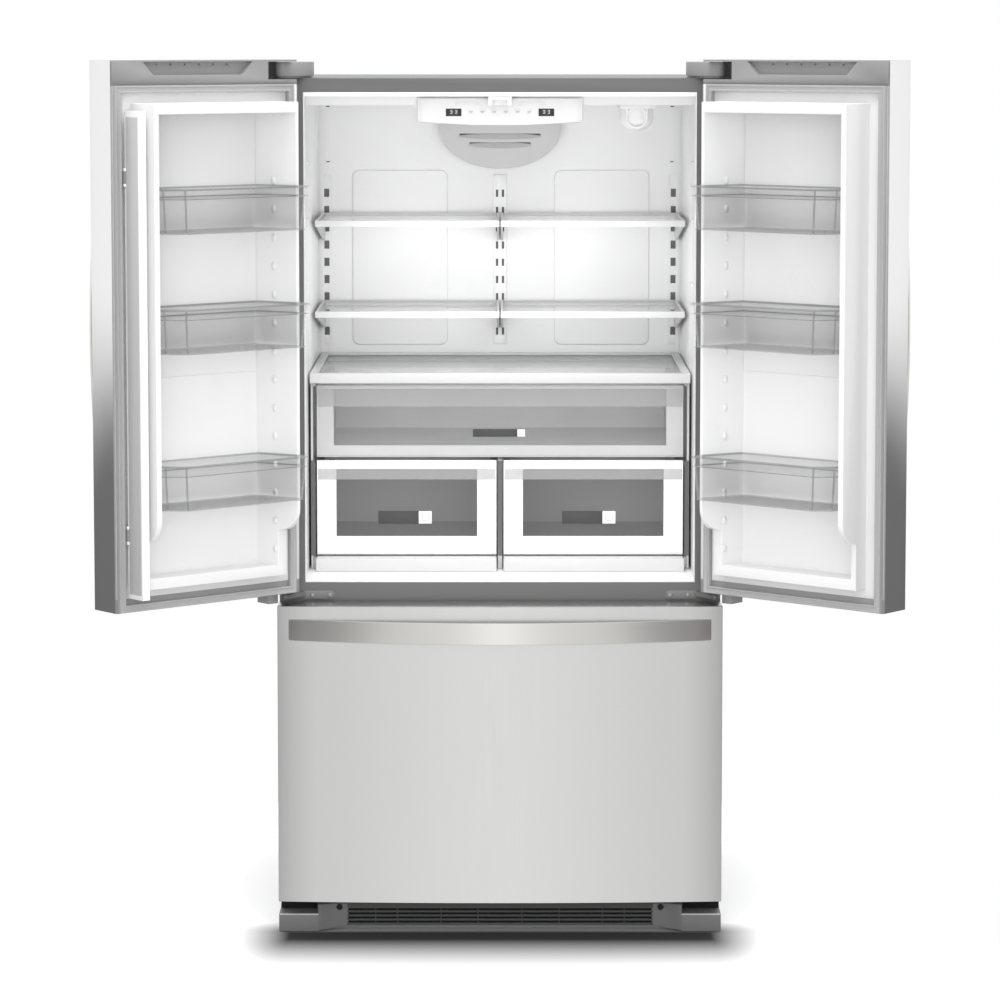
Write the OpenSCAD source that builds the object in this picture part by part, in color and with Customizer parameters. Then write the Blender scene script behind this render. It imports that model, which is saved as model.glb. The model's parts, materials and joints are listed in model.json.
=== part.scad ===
// French door refrigerator: a cabinet with two swinging doors over a pull-out freezer drawer.
// X runs to the right, Y to the back and Z up, in millimetres. Inside the modules Y is measured
// from the outer face of the closed doors; from_front() moves that to the part's own origin,
// which is the bottom centre of its box with both doors open.

/* [Cabinet] */
// Width of the cabinet
cabinet_w = 905; // [895:1:915]
// Height of the cabinet's top above the floor
cabinet_h = 1743; // [1735:1:1750]
// Depth from the closed doors' outer face to the cabinet's back
cabinet_depth = 835; // [825:1:850]
// Half-width of both compartments
cavity_half = 398; // [396:1:399]
// Sheet thickness of the case, the skins and the front frame
sheet = 1.2; // [0.8:0.1:1.4]

/* [Doors] */
// Thickness of a door and of the freezer drawer's front
door_t = 76; // [74:1:77]
// Width of one door
door_w = 449; // [446:0.5:450]
// Height of the doors' lower edge above the floor
door_bottom = 699.5; // [699:0.5:701]
// Height of the doors' upper edge above the floor
door_top = 1781; // [1780:1:1785]
// Angle at which the doors stand open
open_angle = 140; // [90:1:140]
// How far the handles bow out
handle_bow = 60; // [50:1:65]
// How far the drawer's steel front bows out in the middle
drawer_bow = 15; // [10:1:18]
// How far each door's steel front bows out in the middle
door_bow = 7.5; // [5:0.5:9]

/* [Freezer] */
// Height of the freezer drawer front's lower edge
drawer_bottom = 65; // [64:1:68]
// Height of the freezer drawer front's upper edge
drawer_top = 675; // [670:1:676]

/* [Shelves] */
// Heights of the shelves' upper faces
shelf_tops = [1250, 1442];
// Heights of the door bins' floors
bin_floors = [905, 1211, 1445];

/* [Hidden] */
$fn = 96;

half_w = cabinet_w / 2;
gasket_t = 11.7;
face_y = door_t + 12;
frame_back = face_y + sheet;
liner_t = 2;
gap = 0.5;

// Colours
steel = [0.78, 0.78, 0.77];
rail_grey = [0.53, 0.53, 0.53];
cap_grey = [0.63, 0.63, 0.63];
liner_white = [0.95, 0.95, 0.95];
seal_grey = [0.72, 0.72, 0.72];
foam_colour = [0.93, 0.88, 0.70];
clear_plastic = [0.86, 0.92, 0.94, 0.4];
dark_grey = [0.25, 0.25, 0.26];
copper = [0.72, 0.45, 0.25];
zinc = [0.70, 0.71, 0.72];

// Door hinge axis, in the closed door's own (u, v): u from its hinge edge, v from its outer face
pivot_u = 14;
pivot_v = 45;
pivot_x = pivot_u - half_w;

// Mullion bar, folded, and its hinge axis, in the left door's (u, v)
mullion_u = [412.5, 429.5];
mullion_v = [90, 139.3];
mullion_z = [731, 1684];
mullion_axis = [428.25, 90.75];
mullion_knuckle_z = [855, 1555];
mullion_knuckle_r = 4;
mullion_pin_r = 1.6;

// The part's origin: half way between the folded mullion's foremost corner and the back
front_reach = pivot_v - sin(open_angle) * (mullion_u[1] - pivot_u)
    + cos(open_angle) * (mullion_v[1] - pivot_v);
frame_y = (cabinet_depth + front_reach) / 2;

// Fresh compartment: heights and depths
fresh_floor = 722;
fresh_lip = 715;
fresh_roof = 1687;
fresh_roof_front = 1706;
roof_step_y = 172;
fresh_back = 700;
fresh_window = [711, 1715];

// Freezer compartment
freezer_floor = 102;
freezer_roof = 640;
freezer_back = 600;
coil_space_back = 700;
coil_space_z = [320, 360];
freezer_window = [100, 642];

// Machine compartment at the lower back
machine_y = 640;
machine_z = [40, 300];
// Place of the ring that the mains cord enters through, across and up the rear cover
cord_inlet = [-424, 272];

// Door liner: recess and the ridge round it, in (u, v, z)
ridge_u = [58, 406];
recess_u = [65, 394];
recess_floor_u = 95;
recess_floor_v = 60;
ridge_v = 157;
low_ridge_v = 110;
ridge_z = [745, 1698];
recess_z = [767, 1677];
low_ridge_z = [838, 885];
cap_top_z = 1732;
cap_bottom_z = 727;

// Door hinge fittings
hinge_notch_z = [1741.5, 1777];
hinge_notch_u = 72;
hinge_notch_v = 9;
hinge_pin_r = 5;
hinge_bore_r = 5.05;
hinge_plate_t = 4;
low_arm_z = [684, 692];

// Rollers: place along Y, axle height, radius; and the axle's own radius
front_roller = [170, 21, 17];
rear_roller = [770, 19, 19];
axle_r = 4;

// Centres of the two fans
condenser_fan_at = [0, 735, 150];
evaporator_fan_at = [0, 592, 588];

// Drawers in the fresh compartment
drawer_half = 380;
drawer_front_y = 195;
drawer_back_y = 640;
deli_z = [958, 1107];
crisper_z = [754, 951];
crisper_gap = 7.5;
pan_wall = 2.5;

// Handles
handle_w = 44;
handle_t = 8;
door_handle_z = [770, 1710];
door_handle_u = 371;
freezer_handle_half = 436;
// Film of adhesive between a handle's foot and the curved face
handle_gap = 0.15;
freezer_handle_z = 605;

// ---------------------------------------------------------------- helpers

module from_front() translate([0, -frame_y, 0]) children();

module both_sides() {
    children();
    mirror([1, 0, 0]) children();
}

// A box given by its limits on the three axes
module block(x, y, z)
    translate([x[0], y[0], z[0]]) cube([x[1] - x[0], y[1] - y[0], z[1] - z[0]]);

// A box that is symmetric about the middle plane
module wide_block(half, y, z) block([-half, half], y, z);

// Extrusions of a flat outline along X (outline in Y, Z), Y (in X, Z) and Z (in X, Y)
module along_x(x) translate([x[0], 0, 0]) rotate([90, 0, 90]) linear_extrude(x[1] - x[0]) children();
module along_y(y) translate([0, y[1], 0]) rotate([90, 0, 0]) linear_extrude(y[1] - y[0]) children();
module along_z(z) translate([0, 0, z[0]]) linear_extrude(z[1] - z[0]) children();

module rod_x(x, y, z, r) translate([x[0], y, z]) rotate([0, 90, 0]) cylinder(r = r, h = x[1] - x[0]);
module rod_y(x, y, z, r) translate([x, y[1], z]) rotate([90, 0, 0]) cylinder(r = r, h = y[1] - y[0]);
module rod_z(x, y, z, r) translate([x, y, z[0]]) cylinder(r = r, h = z[1] - z[0]);

// Open-topped box with walls and floor of one thickness
module tub(x, y, z, wall)
    difference() {
        block(x, y, z);
        block([x[0] + wall, x[1] - wall], [y[0] + wall, y[1] - wall], [z[0] + wall, z[1] + 1]);
    }

// A door, from its own (u, v, z) to the cabinet, standing open
module left_door()
    from_front() translate([pivot_x, pivot_v, 0]) rotate([0, 0, -open_angle])
        translate([-pivot_u, -pivot_v, 0]) children();
module right_door() mirror([1, 0, 0]) left_door() children();

// ---------------------------------------------------------------- cabinet

module outer_case()
    color(rail_grey) from_front()
        difference() {
            wide_block(half_w, [frame_back, cabinet_depth], [38, cabinet_h]);
            wide_block(half_w - sheet, [frame_back - 1, cabinet_depth + 1], [37, cabinet_h - sheet]);
        }

module rear_panel()
    color(zinc) from_front()
        wide_block(half_w - sheet - gap, [cabinet_depth - 2, cabinet_depth - 0.8],
            [machine_z[1] + 2, cabinet_h - sheet - gap]);

module front_frame()
    color(rail_grey) from_front()
        difference() {
            wide_block(half_w, [face_y, frame_back], [60, cabinet_h]);
            wide_block(cavity_half + liner_t, [face_y - 1, frame_back + 1], fresh_window);
            wide_block(cavity_half + liner_t, [face_y - 1, frame_back + 1], freezer_window);
        }

// Insulation panels, a small gap apart: sides, roof, divider, backs, floor and step
module cabinet_foam() {
    inner = cavity_half + liner_t + gap;
    back = cabinet_depth - 2.5;
    top = cabinet_h - sheet - gap;
    front = frame_back + gap;
    duct_half = 62;
    color(foam_colour) from_front() {
        both_sides()
            along_x([inner, half_w - sheet - gap])
                polygon([[front, 62], [machine_y, 62], [machine_y, machine_z[1] + 2],
                    [back, machine_z[1] + 2], [back, top], [front, top]]);
        wide_block(inner - gap, [front, back], [fresh_window[1] + 1, top]);
        wide_block(inner - gap, [roof_step_y + 3, back], [fresh_roof + 3, fresh_window[1]]);
        both_sides()
            block([duct_half, inner - gap], [fresh_back + 3, back], [machine_z[1] + 2, fresh_roof + 2]);
        wide_block(duct_half - gap, [fresh_back + 46, back], [machine_z[1] + 2, fresh_roof + 2]);
        wide_block(inner - gap, [front, fresh_back + 2], [freezer_window[1] + 1, fresh_window[0] - 1]);
        wide_block(inner - gap, [front, machine_y], [62, freezer_floor - liner_t - gap]);
        wide_block(inner - gap, [freezer_back + 3, machine_y],
            [freezer_floor, coil_space_z[0] - 3]);
    }
}

module liner_shell(outer, inner)
    difference() {
        along_x([-cavity_half - liner_t + 0.2, cavity_half + liner_t - 0.2]) polygon(outer);
        along_x([-cavity_half, cavity_half]) polygon(inner);
    }

module fresh_liner() {
    front = face_y + 0.2;
    low = fresh_window[0] + 0.2;
    high = fresh_window[1] - 0.2;
    roof = fresh_roof + liner_t;
    color(liner_white) from_front()
        liner_shell(
            [[front, low], [fresh_back + liner_t, low], [fresh_back + liner_t, roof],
                [roof_step_y + liner_t, roof], [roof_step_y + liner_t, high], [front, high]],
            [[front - 1, fresh_lip], [front + 12, fresh_lip], [front + 32, fresh_floor],
                [fresh_back, fresh_floor], [fresh_back, fresh_roof], [roof_step_y, fresh_roof],
                [roof_step_y, fresh_roof_front], [front - 1, fresh_roof_front]]);
}

module freezer_liner() {
    front = face_y + 0.2;
    low = freezer_window[0] + 0.2;
    high = freezer_window[1] - 0.2;
    step = coil_space_z;
    color(liner_white) from_front()
        liner_shell(
            [[front, low], [freezer_back + liner_t, low], [freezer_back + liner_t, step[0] - liner_t],
                [coil_space_back + liner_t, step[1] - liner_t], [coil_space_back + liner_t, high],
                [front, high]],
            [[front - 1, freezer_floor], [freezer_back, freezer_floor], [freezer_back, step[0]],
                [coil_space_back, step[1]], [coil_space_back, freezer_roof],
                [front - 1, freezer_roof]]);
}

// Pan under the cabinet, with a bracket each side of every roller
module base_tray()
    color(zinc) from_front() {
        wide_block(half_w - sheet - gap, [frame_back + gap, cabinet_depth - 2.5],
            [machine_z[0], machine_z[0] + 2]);
        for (roller = [front_roller, rear_roller])
            both_sides()
                for (x = [[383, 386], [412, 415]])
                    difference() {
                        block(x, [roller[0] - 18, roller[0] + 18], [roller[1] - 8, machine_z[0] + 1]);
                        rod_x([x[0] - 1, x[1] + 1], roller[0], roller[1], axle_r + 0.05);
                    }
    }

// Grille between two leg covers
module toe_grille() {
    grille_half = 348;
    grille_y = [20, 24];
    slot_half = 313;
    slot_h = 5;
    slot_pitch = 8.6;
    ribs = [45, 121, 210, 255];
    color(dark_grey) from_front() {
        difference() {
            wide_block(grille_half, grille_y, [11, 61]);
            for (row = [0:3])
                wide_block(slot_half, [grille_y[0] - 1, grille_y[1] + 1],
                    [15.5 + row * slot_pitch, 15.5 + row * slot_pitch + slot_h]);
        }
        for (rib = ribs)
            both_sides() block([rib - 1, rib + 1], [grille_y[0] + 1, grille_y[1]], [15, 47]);
        both_sides()
            difference() {
                union() {
                    block([370, half_w], [8, 86], [1.5, 37]);
                    block([grille_half - 4, 374], [20, 86], [11, 61]);
                    block([370, half_w - 6], [60, 86], [30, 61]);
                }
                block([372.5, half_w - 2.5], [10.5, 90], [-1, 34.5]);
                block([grille_half - 1, 372], [24, 90], [0, 58.5]);
                block([360, half_w - 9], [63, 90], [0, 58.5]);
            }
    }
}

module leveling_legs()
    color(zinc) from_front()
        both_sides() {
            rod_z(415, 118, [0, 7], 17);
            rod_z(415, 118, [7, 40], 6);
        }

module machine_cover()
    color(zinc) from_front()
        difference() {
            union() {
                wide_block(half_w - sheet - gap, [cabinet_depth - 2, cabinet_depth - 0.4],
                    [machine_z[0] + 3, machine_z[1]]);
                rod_y(cord_inlet[0], [cabinet_depth - 14, cabinet_depth - 0.4], cord_inlet[1], 10);
            }
            for (column = [-9:8], row = [0:1])
                block([column * 46 + 8, column * 46 + 38],
                    [cabinet_depth - 3, cabinet_depth + 1], [80 + row * 90, 150 + row * 90]);
            rod_y(cord_inlet[0], [cabinet_depth - 15, cabinet_depth + 1], cord_inlet[1], 5.5);
        }

module compressor()
    color([0.12, 0.12, 0.13]) from_front() translate([-230, 735, 0]) {
        translate([0, 0, 58]) cylinder(r = 72, h = 110);
        intersection() {
            translate([0, 0, 126]) sphere(r = 83);
            translate([-80, -80, 167]) cube([160, 160, 60]);
        }
        translate([-105, -70, 52]) cube([210, 140, 8]);
        for (x = [-90, 90], y = [-55, 55]) translate([x, y, 42]) cylinder(r = 12, h = 12);
    }

// Rows of horizontal tubes between two end plates that reach down to a foot
module tube_bank(half, ys, zs, r, foot_z) {
    for (y = ys, z = zs) rod_x([-half, half], y, z, r);
    for (end = [-half, half - 2])
        block([end, end + 2], [ys[0] - 14, ys[len(ys) - 1] + 14], [foot_z, zs[len(zs) - 1] + 14]);
}

module condenser_coil()
    color(copper) from_front() translate([220, 0, 0])
        tube_bank(150, [690, 720, 750, 780], [80, 115, 150, 185, 220], 4, machine_z[0] + 2);

module evaporator_coil()
    color([0.80, 0.81, 0.82]) from_front() {
        tube_bank(300, [635, 665], [375, 405, 435, 465, 495, 525], 4.5, 361);
        for (fin = [-13:13])
            block([fin * 21, fin * 21 + 0.8], [622, 678], [365, 535]);
    }

module evaporator_cover()
    color(liner_white) from_front()
        difference() {
            wide_block(cavity_half - 4, [586, 598], [326, freezer_roof - 3]);
            wide_block(cavity_half - 8, [589, 599], [325, freezer_roof - 6]);
            for (vent = [1:3])
                both_sides() block([vent * 90 - 30, vent * 90 + 30], [580, 600], [600, 612]);
            rod_y(0, [580, 600], evaporator_fan_at[2], 44);
        }

// Louvred tower on the back wall, and the duct behind the liner that feeds it
module air_tower() {
    half = 132;
    low = 1540;
    high = fresh_roof - 0.5;
    shoulder = 1625;
    color(liner_white) from_front() {
        difference() {
            along_y([fresh_back - 52, fresh_back - 0.3])
                polygon(concat([[half, high]],
                    [for (a = [0:6:180]) [half * cos(a), shoulder - (shoulder - low) * sin(a)]],
                    [[-half, high]]));
            for (vent = [[1609, 88], [1590, 66]])
                wide_block(vent[1], [fresh_back - 60, fresh_back - 30], [vent[0], vent[0] + 7]);
        }
        difference() {
            wide_block(58, [fresh_back + 4, fresh_back + 42], [712, 1660]);
            wide_block(55, [fresh_back + 7, fresh_back + 39], [700, 1657]);
            wide_block(50, [fresh_back, fresh_back + 10], [1600, 1650]);
        }
    }
}

module control_housing() {
    half = 171;
    front = 163;
    low = 1646;
    color(liner_white) from_front()
        difference() {
            union() {
                wide_block(half, [front, roof_step_y - 0.3], [low, 1702]);
                wide_block(half, [roof_step_y - 0.3, 360], [low, fresh_roof - 0.3]);
            }
            wide_block(half - 2.5, [front + 2.5, 357], [low + 2.5, fresh_roof + 5]);
            wide_block(62, [215, 305], [low - 1, low + 3]);
        }
}

// Two display windows and six touch pads on the housing's face
module control_displays()
    color([0.05, 0.05, 0.06]) from_front() {
        both_sides() block([80, 110], [162, 162.9], [1666, 1680]);
        for (pad = [-2.5:2.5])
            block([pad * 24 - 7, pad * 24 + 7], [162.2, 162.9], [1667, 1679]);
    }

module lamp_lens()
    color([1, 1, 0.97, 0.8]) from_front()
        wide_block(61.5, [215.5, 304.5], [1645, 1648.2]);

module filter_housing()
    color(liner_white) from_front()
        difference() {
            union() {
                block([249, 327], [300, 500], [1676, fresh_roof - 0.3]);
                translate([288, 400, 1628]) cylinder(r = 36, h = 50);
            }
            translate([288, 400, 1632]) cylinder(r = 33, h = 60);
        }

module mullion_guide()
    color(liner_white) from_front()
        difference() {
            wide_block(24, [face_y + 1, 158], [fresh_roof + 0.3, fresh_roof_front - 0.2]);
            wide_block(15, [face_y, 130], [fresh_roof - 1, fresh_roof + 12]);
        }

module shelf_ladders() {
    pitch = 38;
    first = 1172;
    color(liner_white) from_front()
        for (strip = [[-390, -371], [-15, 15], [371, 390]])
            difference() {
                block(strip, [fresh_back - 4, fresh_back - 0.2], [first - 20, 1525]);
                for (slot = [0:8], x = strip[1] - strip[0] > 20 ? [-9, 4] : [strip[0] + 6])
                    block([x, x + 5], [fresh_back - 5, fresh_back + 1],
                        [first + slot * pitch, first + slot * pitch + 16]);
            }
}

// Rims and brackets of the four half-width shelves
module shelf_frames() {
    half = 389;
    rim_y = [330, 685];
    rim_h = 13;
    color(liner_white) from_front()
        for (top = shelf_tops)
            both_sides() {
                difference() {
                    block([1.5, half], rim_y, [top - rim_h, top]);
                    block([7, half - 6], [rim_y[0] + 16, rim_y[1] - 8], [top - rim_h - 1, top + 1]);
                    block([5, half - 4], [rim_y[0] + 14, rim_y[1] - 6], [top - 6, top - 1.5]);
                }
                for (x = [[2, 6], [half - 5, half - 1]])
                    along_x(x)
                        polygon([[rim_y[0] + 20, top - rim_h], [rim_y[1] + 9, top - rim_h],
                            [rim_y[1] + 9, top - 60], [rim_y[1] - 20, top - 60]]);
            }
}

module shelf_glass() {
    color(clear_plastic) from_front() {
        for (top = shelf_tops)
            both_sides() block([5.2, 384.8], [344.2, 678.8], [top - 5.8, top - 1.7]);
        wide_block(381, [184, 676], [1124, 1128]);
    }
}

// Cover over the drawers, the wall between the crispers and the drawers' side rails
module crisper_frame()
    color(liner_white) from_front() {
        difference() {
            wide_block(393, [165, 685], [1114, 1134]);
            wide_block(377, [188, 672], [1113, 1135]);
            wide_block(381.2, [183.8, 676.2], [1123.8, 1128.2]);
        }
        both_sides() {
            block([388, 393], [200, 685], [fresh_floor + 0.3, 1113.8]);
            block([382.5, 388], [205, 640], [1104, 1110]);
            block([382.5, 388], [205, 640], [fresh_floor + 0.3, 748]);
        }
        wide_block(5, [200, 680], [fresh_floor + 0.3, 952]);
        wide_block(388, [645, 685], [952, 957]);
    }

// Top and centre hinges, for both doors
module hinge_brackets()
    color(rail_grey) from_front()
        both_sides() {
            along_z([cabinet_h, cabinet_h + hinge_plate_t])
                hull() {
                    translate([pivot_x, pivot_v]) circle(r = 12);
                    translate([-428, 118]) square([44, 66]);
                }
            rod_z(pivot_x, pivot_v, [hinge_notch_z[0] - 8, cabinet_h + 1], hinge_pin_r);
            along_z(low_arm_z)
                hull() {
                    translate([pivot_x, pivot_v]) circle(r = 9);
                    translate([-414, face_y - 4]) square([16, 4]);
                }
            along_y([face_y - 4, face_y]) {
                translate([-404, 677]) square([56, 18]);
                translate([-348, 686]) circle(r = 9);
            }
            rod_z(pivot_x, pivot_v, [low_arm_z[1] - 1, 720], hinge_pin_r);
        }

module hinge_screws()
    color(zinc) from_front()
        both_sides() {
            for (at = [[-418, 128], [-394, 128], [-406, 172]])
                rod_z(at[0], at[1], [cabinet_h + hinge_plate_t, cabinet_h + hinge_plate_t + 5], 6);
            for (x = [-349, -385]) rod_y(x, [face_y - 6.5, face_y - 4], 686, 4);
        }

module hinge_covers()
    color(rail_grey) from_front()
        both_sides()
            difference() {
                along_z([cabinet_h + hinge_plate_t + 0.2, 1776])
                    hull() {
                        translate([pivot_x, pivot_v]) circle(r = 14);
                        translate([-430, 108]) square([48, 82]);
                    }
                along_z([cabinet_h, 1773])
                    hull() {
                        translate([pivot_x, pivot_v]) circle(r = 11.5);
                        translate([-427.5, 110]) square([43, 77.5]);
                    }
            }

// ---------------------------------------------------------------- rollers and fans

module roller_pair(roller)
    color(dark_grey) from_front()
        both_sides() {
            rod_x([390, 408], roller[0], roller[1], roller[2]);
            rod_x([382, 416], roller[0], roller[1], axle_r);
        }

module front_rollers() roller_pair(front_roller);
module rear_rollers() roller_pair(rear_roller);

// A hub with pitched blades, turning about Z
module fan(r, blades)
    color(dark_grey) {
        cylinder(r = r * 0.28, h = 22, center = true);
        for (blade = [0:blades - 1])
            rotate([0, 0, blade * 360 / blades]) translate([r * 0.24, 0, 0]) rotate([32, 0, 0])
                translate([0, -r * 0.26, -1]) cube([r * 0.72, r * 0.52, 2]);
    }

module condenser_fan()
    from_front() translate(condenser_fan_at) rotate([0, 90, 0]) fan(68, 5);
module evaporator_fan()
    from_front() translate(evaporator_fan_at) rotate([90, 0, 0]) fan(40, 5);

// A motor behind each fan, on a foot or a hanger
module fan_motors()
    color(zinc) from_front() {
        rod_x([-62, -12], condenser_fan_at[1], condenser_fan_at[2], 22);
        block([-58, -50], [condenser_fan_at[1] - 20, condenser_fan_at[1] + 20],
            [machine_z[0] + 2, condenser_fan_at[2]]);
        rod_y(0, [evaporator_fan_at[1] + 12, 640], evaporator_fan_at[2], 17);
        block([-12, 12], [628, 636], [evaporator_fan_at[2], freezer_roof - 0.2]);
    }

// ---------------------------------------------------------------- drawers

module deli_drawer()
    color(clear_plastic) from_front() {
        wide_block(drawer_half, [drawer_front_y, drawer_front_y + 6], deli_z);
        tub([-362, 362], [drawer_front_y + 5, drawer_back_y], [deli_z[0] + 12, deli_z[1] - 4], pan_wall);
        both_sides() block([361, 381], [drawer_front_y + 5, drawer_back_y - 4], [1097, 1103]);
    }

module crisper(x_limits)
    from_front() {
        block(x_limits, [drawer_front_y, drawer_front_y + 6], crisper_z);
        tub([x_limits[0] + 14, x_limits[1] - 14], [drawer_front_y + 5, drawer_back_y],
            [crisper_z[0] + 8, crisper_z[1] - 5], pan_wall);
    }

module crisper_left() color(clear_plastic) crisper([-drawer_half, -crisper_gap]);
module crisper_right() color(clear_plastic) crisper([crisper_gap, drawer_half]);

// ---------------------------------------------------------------- freezer drawer

module freezer_skin()
    color(steel) from_front()
        difference() {
            union() {
                wide_block(half_w, [0, door_t - 4], [drawer_bottom, drawer_top]);
                bowed_front(half_w, drawer_bow, 0, [drawer_bottom, drawer_top]);
            }
            wide_block(half_w - sheet, [sheet, door_t], [drawer_bottom + sheet, drawer_top - sheet]);
            bowed_front(half_w, drawer_bow, sheet, [drawer_bottom + sheet, drawer_top - sheet]);
        }

module freezer_foam()
    color(foam_colour) from_front() {
        wide_block(half_w - sheet - 0.1, [sheet + 0.1, door_t - liner_t],
            [drawer_bottom + sheet + 0.1, drawer_top - sheet - 0.1]);
        bowed_front(half_w, drawer_bow, sheet + 0.1,
            [drawer_bottom + sheet + 0.1, drawer_top - sheet - 0.1]);
    }

module freezer_door_liner()
    color(liner_white) from_front() {
        wide_block(half_w - sheet - 0.3, [door_t - liner_t + 0.1, door_t],
            [drawer_bottom + 1.5, drawer_top - 1.5]);
        wide_block(372, [door_t - 0.1, 98], [132, 596]);
    }

module seal(u, v, z, width)
    difference() {
        block(u, v, z);
        block([u[0] + width, u[1] - width], [v[0] - 1, v[1] + 1], [z[0] + width, z[1] - width]);
    }

module freezer_gasket()
    color(seal_grey) from_front()
        seal([-436, 436], [door_t, door_t + gasket_t], [74, 664], 14);

// A flat cutter that touches a bowed front at one place across it, with a handle's film before it
module face_plane(half, bow, x, z) {
    radius = (half * half + bow * bow) / (2 * bow);
    translate([x, radius - bow - sqrt(radius * radius - x * x) - handle_gap, 0])
        rotate([0, 0, asin(x / radius)]) block([-90, 90], [0, 40], z);
}

// The part of a gently curved front that stands proud of Y = 0 over a width, inset all round
module bowed_front(half, bow, inset, z, reach = 1) {
    radius = (half * half + bow * bow) / (2 * bow);
    intersection() {
        translate([0, radius - bow, z[0]]) cylinder(r = radius - inset, h = z[1] - z[0], $fn = 720);
        block([-half + inset, half - inset], [-bow - 1, inset + reach], z);
    }
}

// A band of one thickness that bows out from a flat face over a chord. Its length runs along Z,
// its width along X, and it bows towards -Y.
module bowed_band(chord, width) {
    blunt_end = 4;
    radius = (chord * chord / 4 + handle_bow * handle_bow) / (2 * handle_bow);
    centre = radius - handle_bow;
    intersection() {
        translate([0, centre, 0]) rotate([0, 90, 0])
            difference() {
                cylinder(r = radius, h = width, $fn = 720);
                translate([0, 0, -1]) cylinder(r = radius - handle_t, h = width + 2, $fn = 720);
            }
        translate([-1, -handle_bow - 1, -chord / 2 + blunt_end])
            cube([width + 2, handle_bow + 1, chord - 2 * blunt_end]);
    }
}

module freezer_handle()
    color(steel) from_front()
        difference() {
            translate([0, 0, freezer_handle_z + handle_w]) rotate([0, 90, 0])
                bowed_band(2 * freezer_handle_half, handle_w);
            both_sides() face_plane(half_w, drawer_bow, freezer_handle_half - 18,
                [freezer_handle_z - 1, freezer_handle_z + handle_w + 1]);
        }

// Arms behind the drawer's front, riding in the cabinet's rails
module freezer_runners()
    color(zinc) from_front()
        both_sides() {
            block([378, 393], [door_t + 0.2, 560], [152, 188]);
            block([376, 393], [door_t + 0.2, door_t + 3], [140, 260]);
        }

module freezer_rails()
    color(zinc) from_front()
        both_sides() {
            difference() {
                block([386.5, 397.5], [frame_back + 4, 580], [144, 196]);
                block([385, 394], [frame_back, 590], [149, 191]);
            }
            block([388, 397.5], [frame_back + 40, 580], [430, 442]);
        }

module freezer_bin()
    color(clear_plastic) from_front()
        tub([-374, 374], [104, 556], [124, 340], 3);

// Shallow upper basket on its own ledge
module freezer_basket()
    color(liner_white) from_front() {
        difference() {
            tub([-366, 366], [126, 540], [400, 500], 3);
            for (hole = [-7:6])
                block([hole * 50 + 8, hole * 50 + 42], [120, 550], [425, 475]);
        }
        both_sides() block([365, 395], [126, 540], [443, 451]);
    }

// ---------------------------------------------------------------- doors, in (u, v, z)

module hinge_notch()
    block([-1, hinge_notch_u], [hinge_notch_v, door_t + 1], hinge_notch_z);

// The bowed part of a door's front
module door_front(inset, z) translate([door_w / 2, 0, 0]) bowed_front(door_w / 2, door_bow, inset, z);

module door_skin_shape()
    difference() {
        union() {
            block([0, door_w], [0, door_t - 4], [door_bottom, door_top]);
            door_front(0, [door_bottom, door_top]);
        }
        block([sheet, door_w - sheet], [sheet, door_t], [door_bottom - 1, door_top + 1]);
        door_front(sheet, [door_bottom - 1, door_top + 1]);
        hinge_notch();
    }

module door_caps_shape() {
    sides = [sheet + 0.1, door_w - sheet - 0.1];
    difference() {
        union() {
            block(sides, [sheet + 0.1, door_t], [cap_top_z, door_top]);
            door_front(sheet + 0.1, [cap_top_z, door_top]);
        }
        along_y([door_t - 12, door_t + 1])
            polygon([[110, door_top - 3], [375, door_top - 3], [350, 1752], [135, 1752]]);
        hinge_notch();
        rod_z(pivot_u, pivot_v, [cap_top_z - 1, door_top - 10], hinge_bore_r);
    }
    difference() {
        union() {
            block(sides, [sheet + 0.1, door_t], [door_bottom, cap_bottom_z]);
            door_front(sheet + 0.1, [door_bottom, cap_bottom_z]);
            block([42, 66], [20, 58], [679, door_bottom + 1]);
        }
        rod_z(pivot_u, pivot_v, [door_bottom - 1, 722], hinge_bore_r);
    }
}

module door_foam_shape()
    difference() {
        union() {
            block([sheet + 0.1, door_w - sheet - 0.1], [sheet + 0.1, door_t - liner_t],
                [cap_bottom_z + 0.1, cap_top_z - 0.1]);
            door_front(sheet + 0.1, [cap_bottom_z + 0.1, cap_top_z - 0.1]);
        }
        along_z([recess_z[0] - liner_t - 0.1, recess_z[1] + liner_t + 0.1])
            polygon([[86, door_t], [91, recess_floor_v - liner_t - 0.1],
                [recess_u[1] + liner_t + 0.1, recess_floor_v - liner_t - 0.1],
                [recess_u[1] + liner_t + 0.1, door_t]]);
    }

// White inner liner: flange, the ridge that holds the bins, and the recess between
module door_liner_shape()
    difference() {
        union() {
            block([sheet + 0.3, door_w - sheet - 0.3], [door_t - liner_t + 0.1, door_t],
                [cap_bottom_z + 0.1, cap_top_z - 0.1]);
            block(ridge_u, [door_t - 0.5, ridge_v], ridge_z);
            along_z([recess_z[0] - liner_t, recess_z[1] + liner_t])
                polygon([[87.5, door_t], [92.5, recess_floor_v - liner_t],
                    [recess_u[1] + liner_t, recess_floor_v - liner_t],
                    [recess_u[1] + liner_t, door_t]]);
        }
        along_z(recess_z)
            polygon([[recess_u[0], ridge_v + 1], [recess_floor_u, recess_floor_v],
                [recess_u[1], recess_floor_v], [recess_u[1], ridge_v + 1]]);
        along_x([ridge_u[0] - 1, ridge_u[1] + 1])
            difference() {
                translate([low_ridge_v, ridge_z[0] - 1])
                    square([ridge_v - low_ridge_v + 1, low_ridge_z[1] - ridge_z[0] + 1]);
                translate([low_ridge_v, low_ridge_z[1]])
                    circle(r = ridge_v - low_ridge_v);
            }
    }

module door_gasket_shape() seal([16, 447], [door_t, door_t + gasket_t], [702, 1732], 14);

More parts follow.
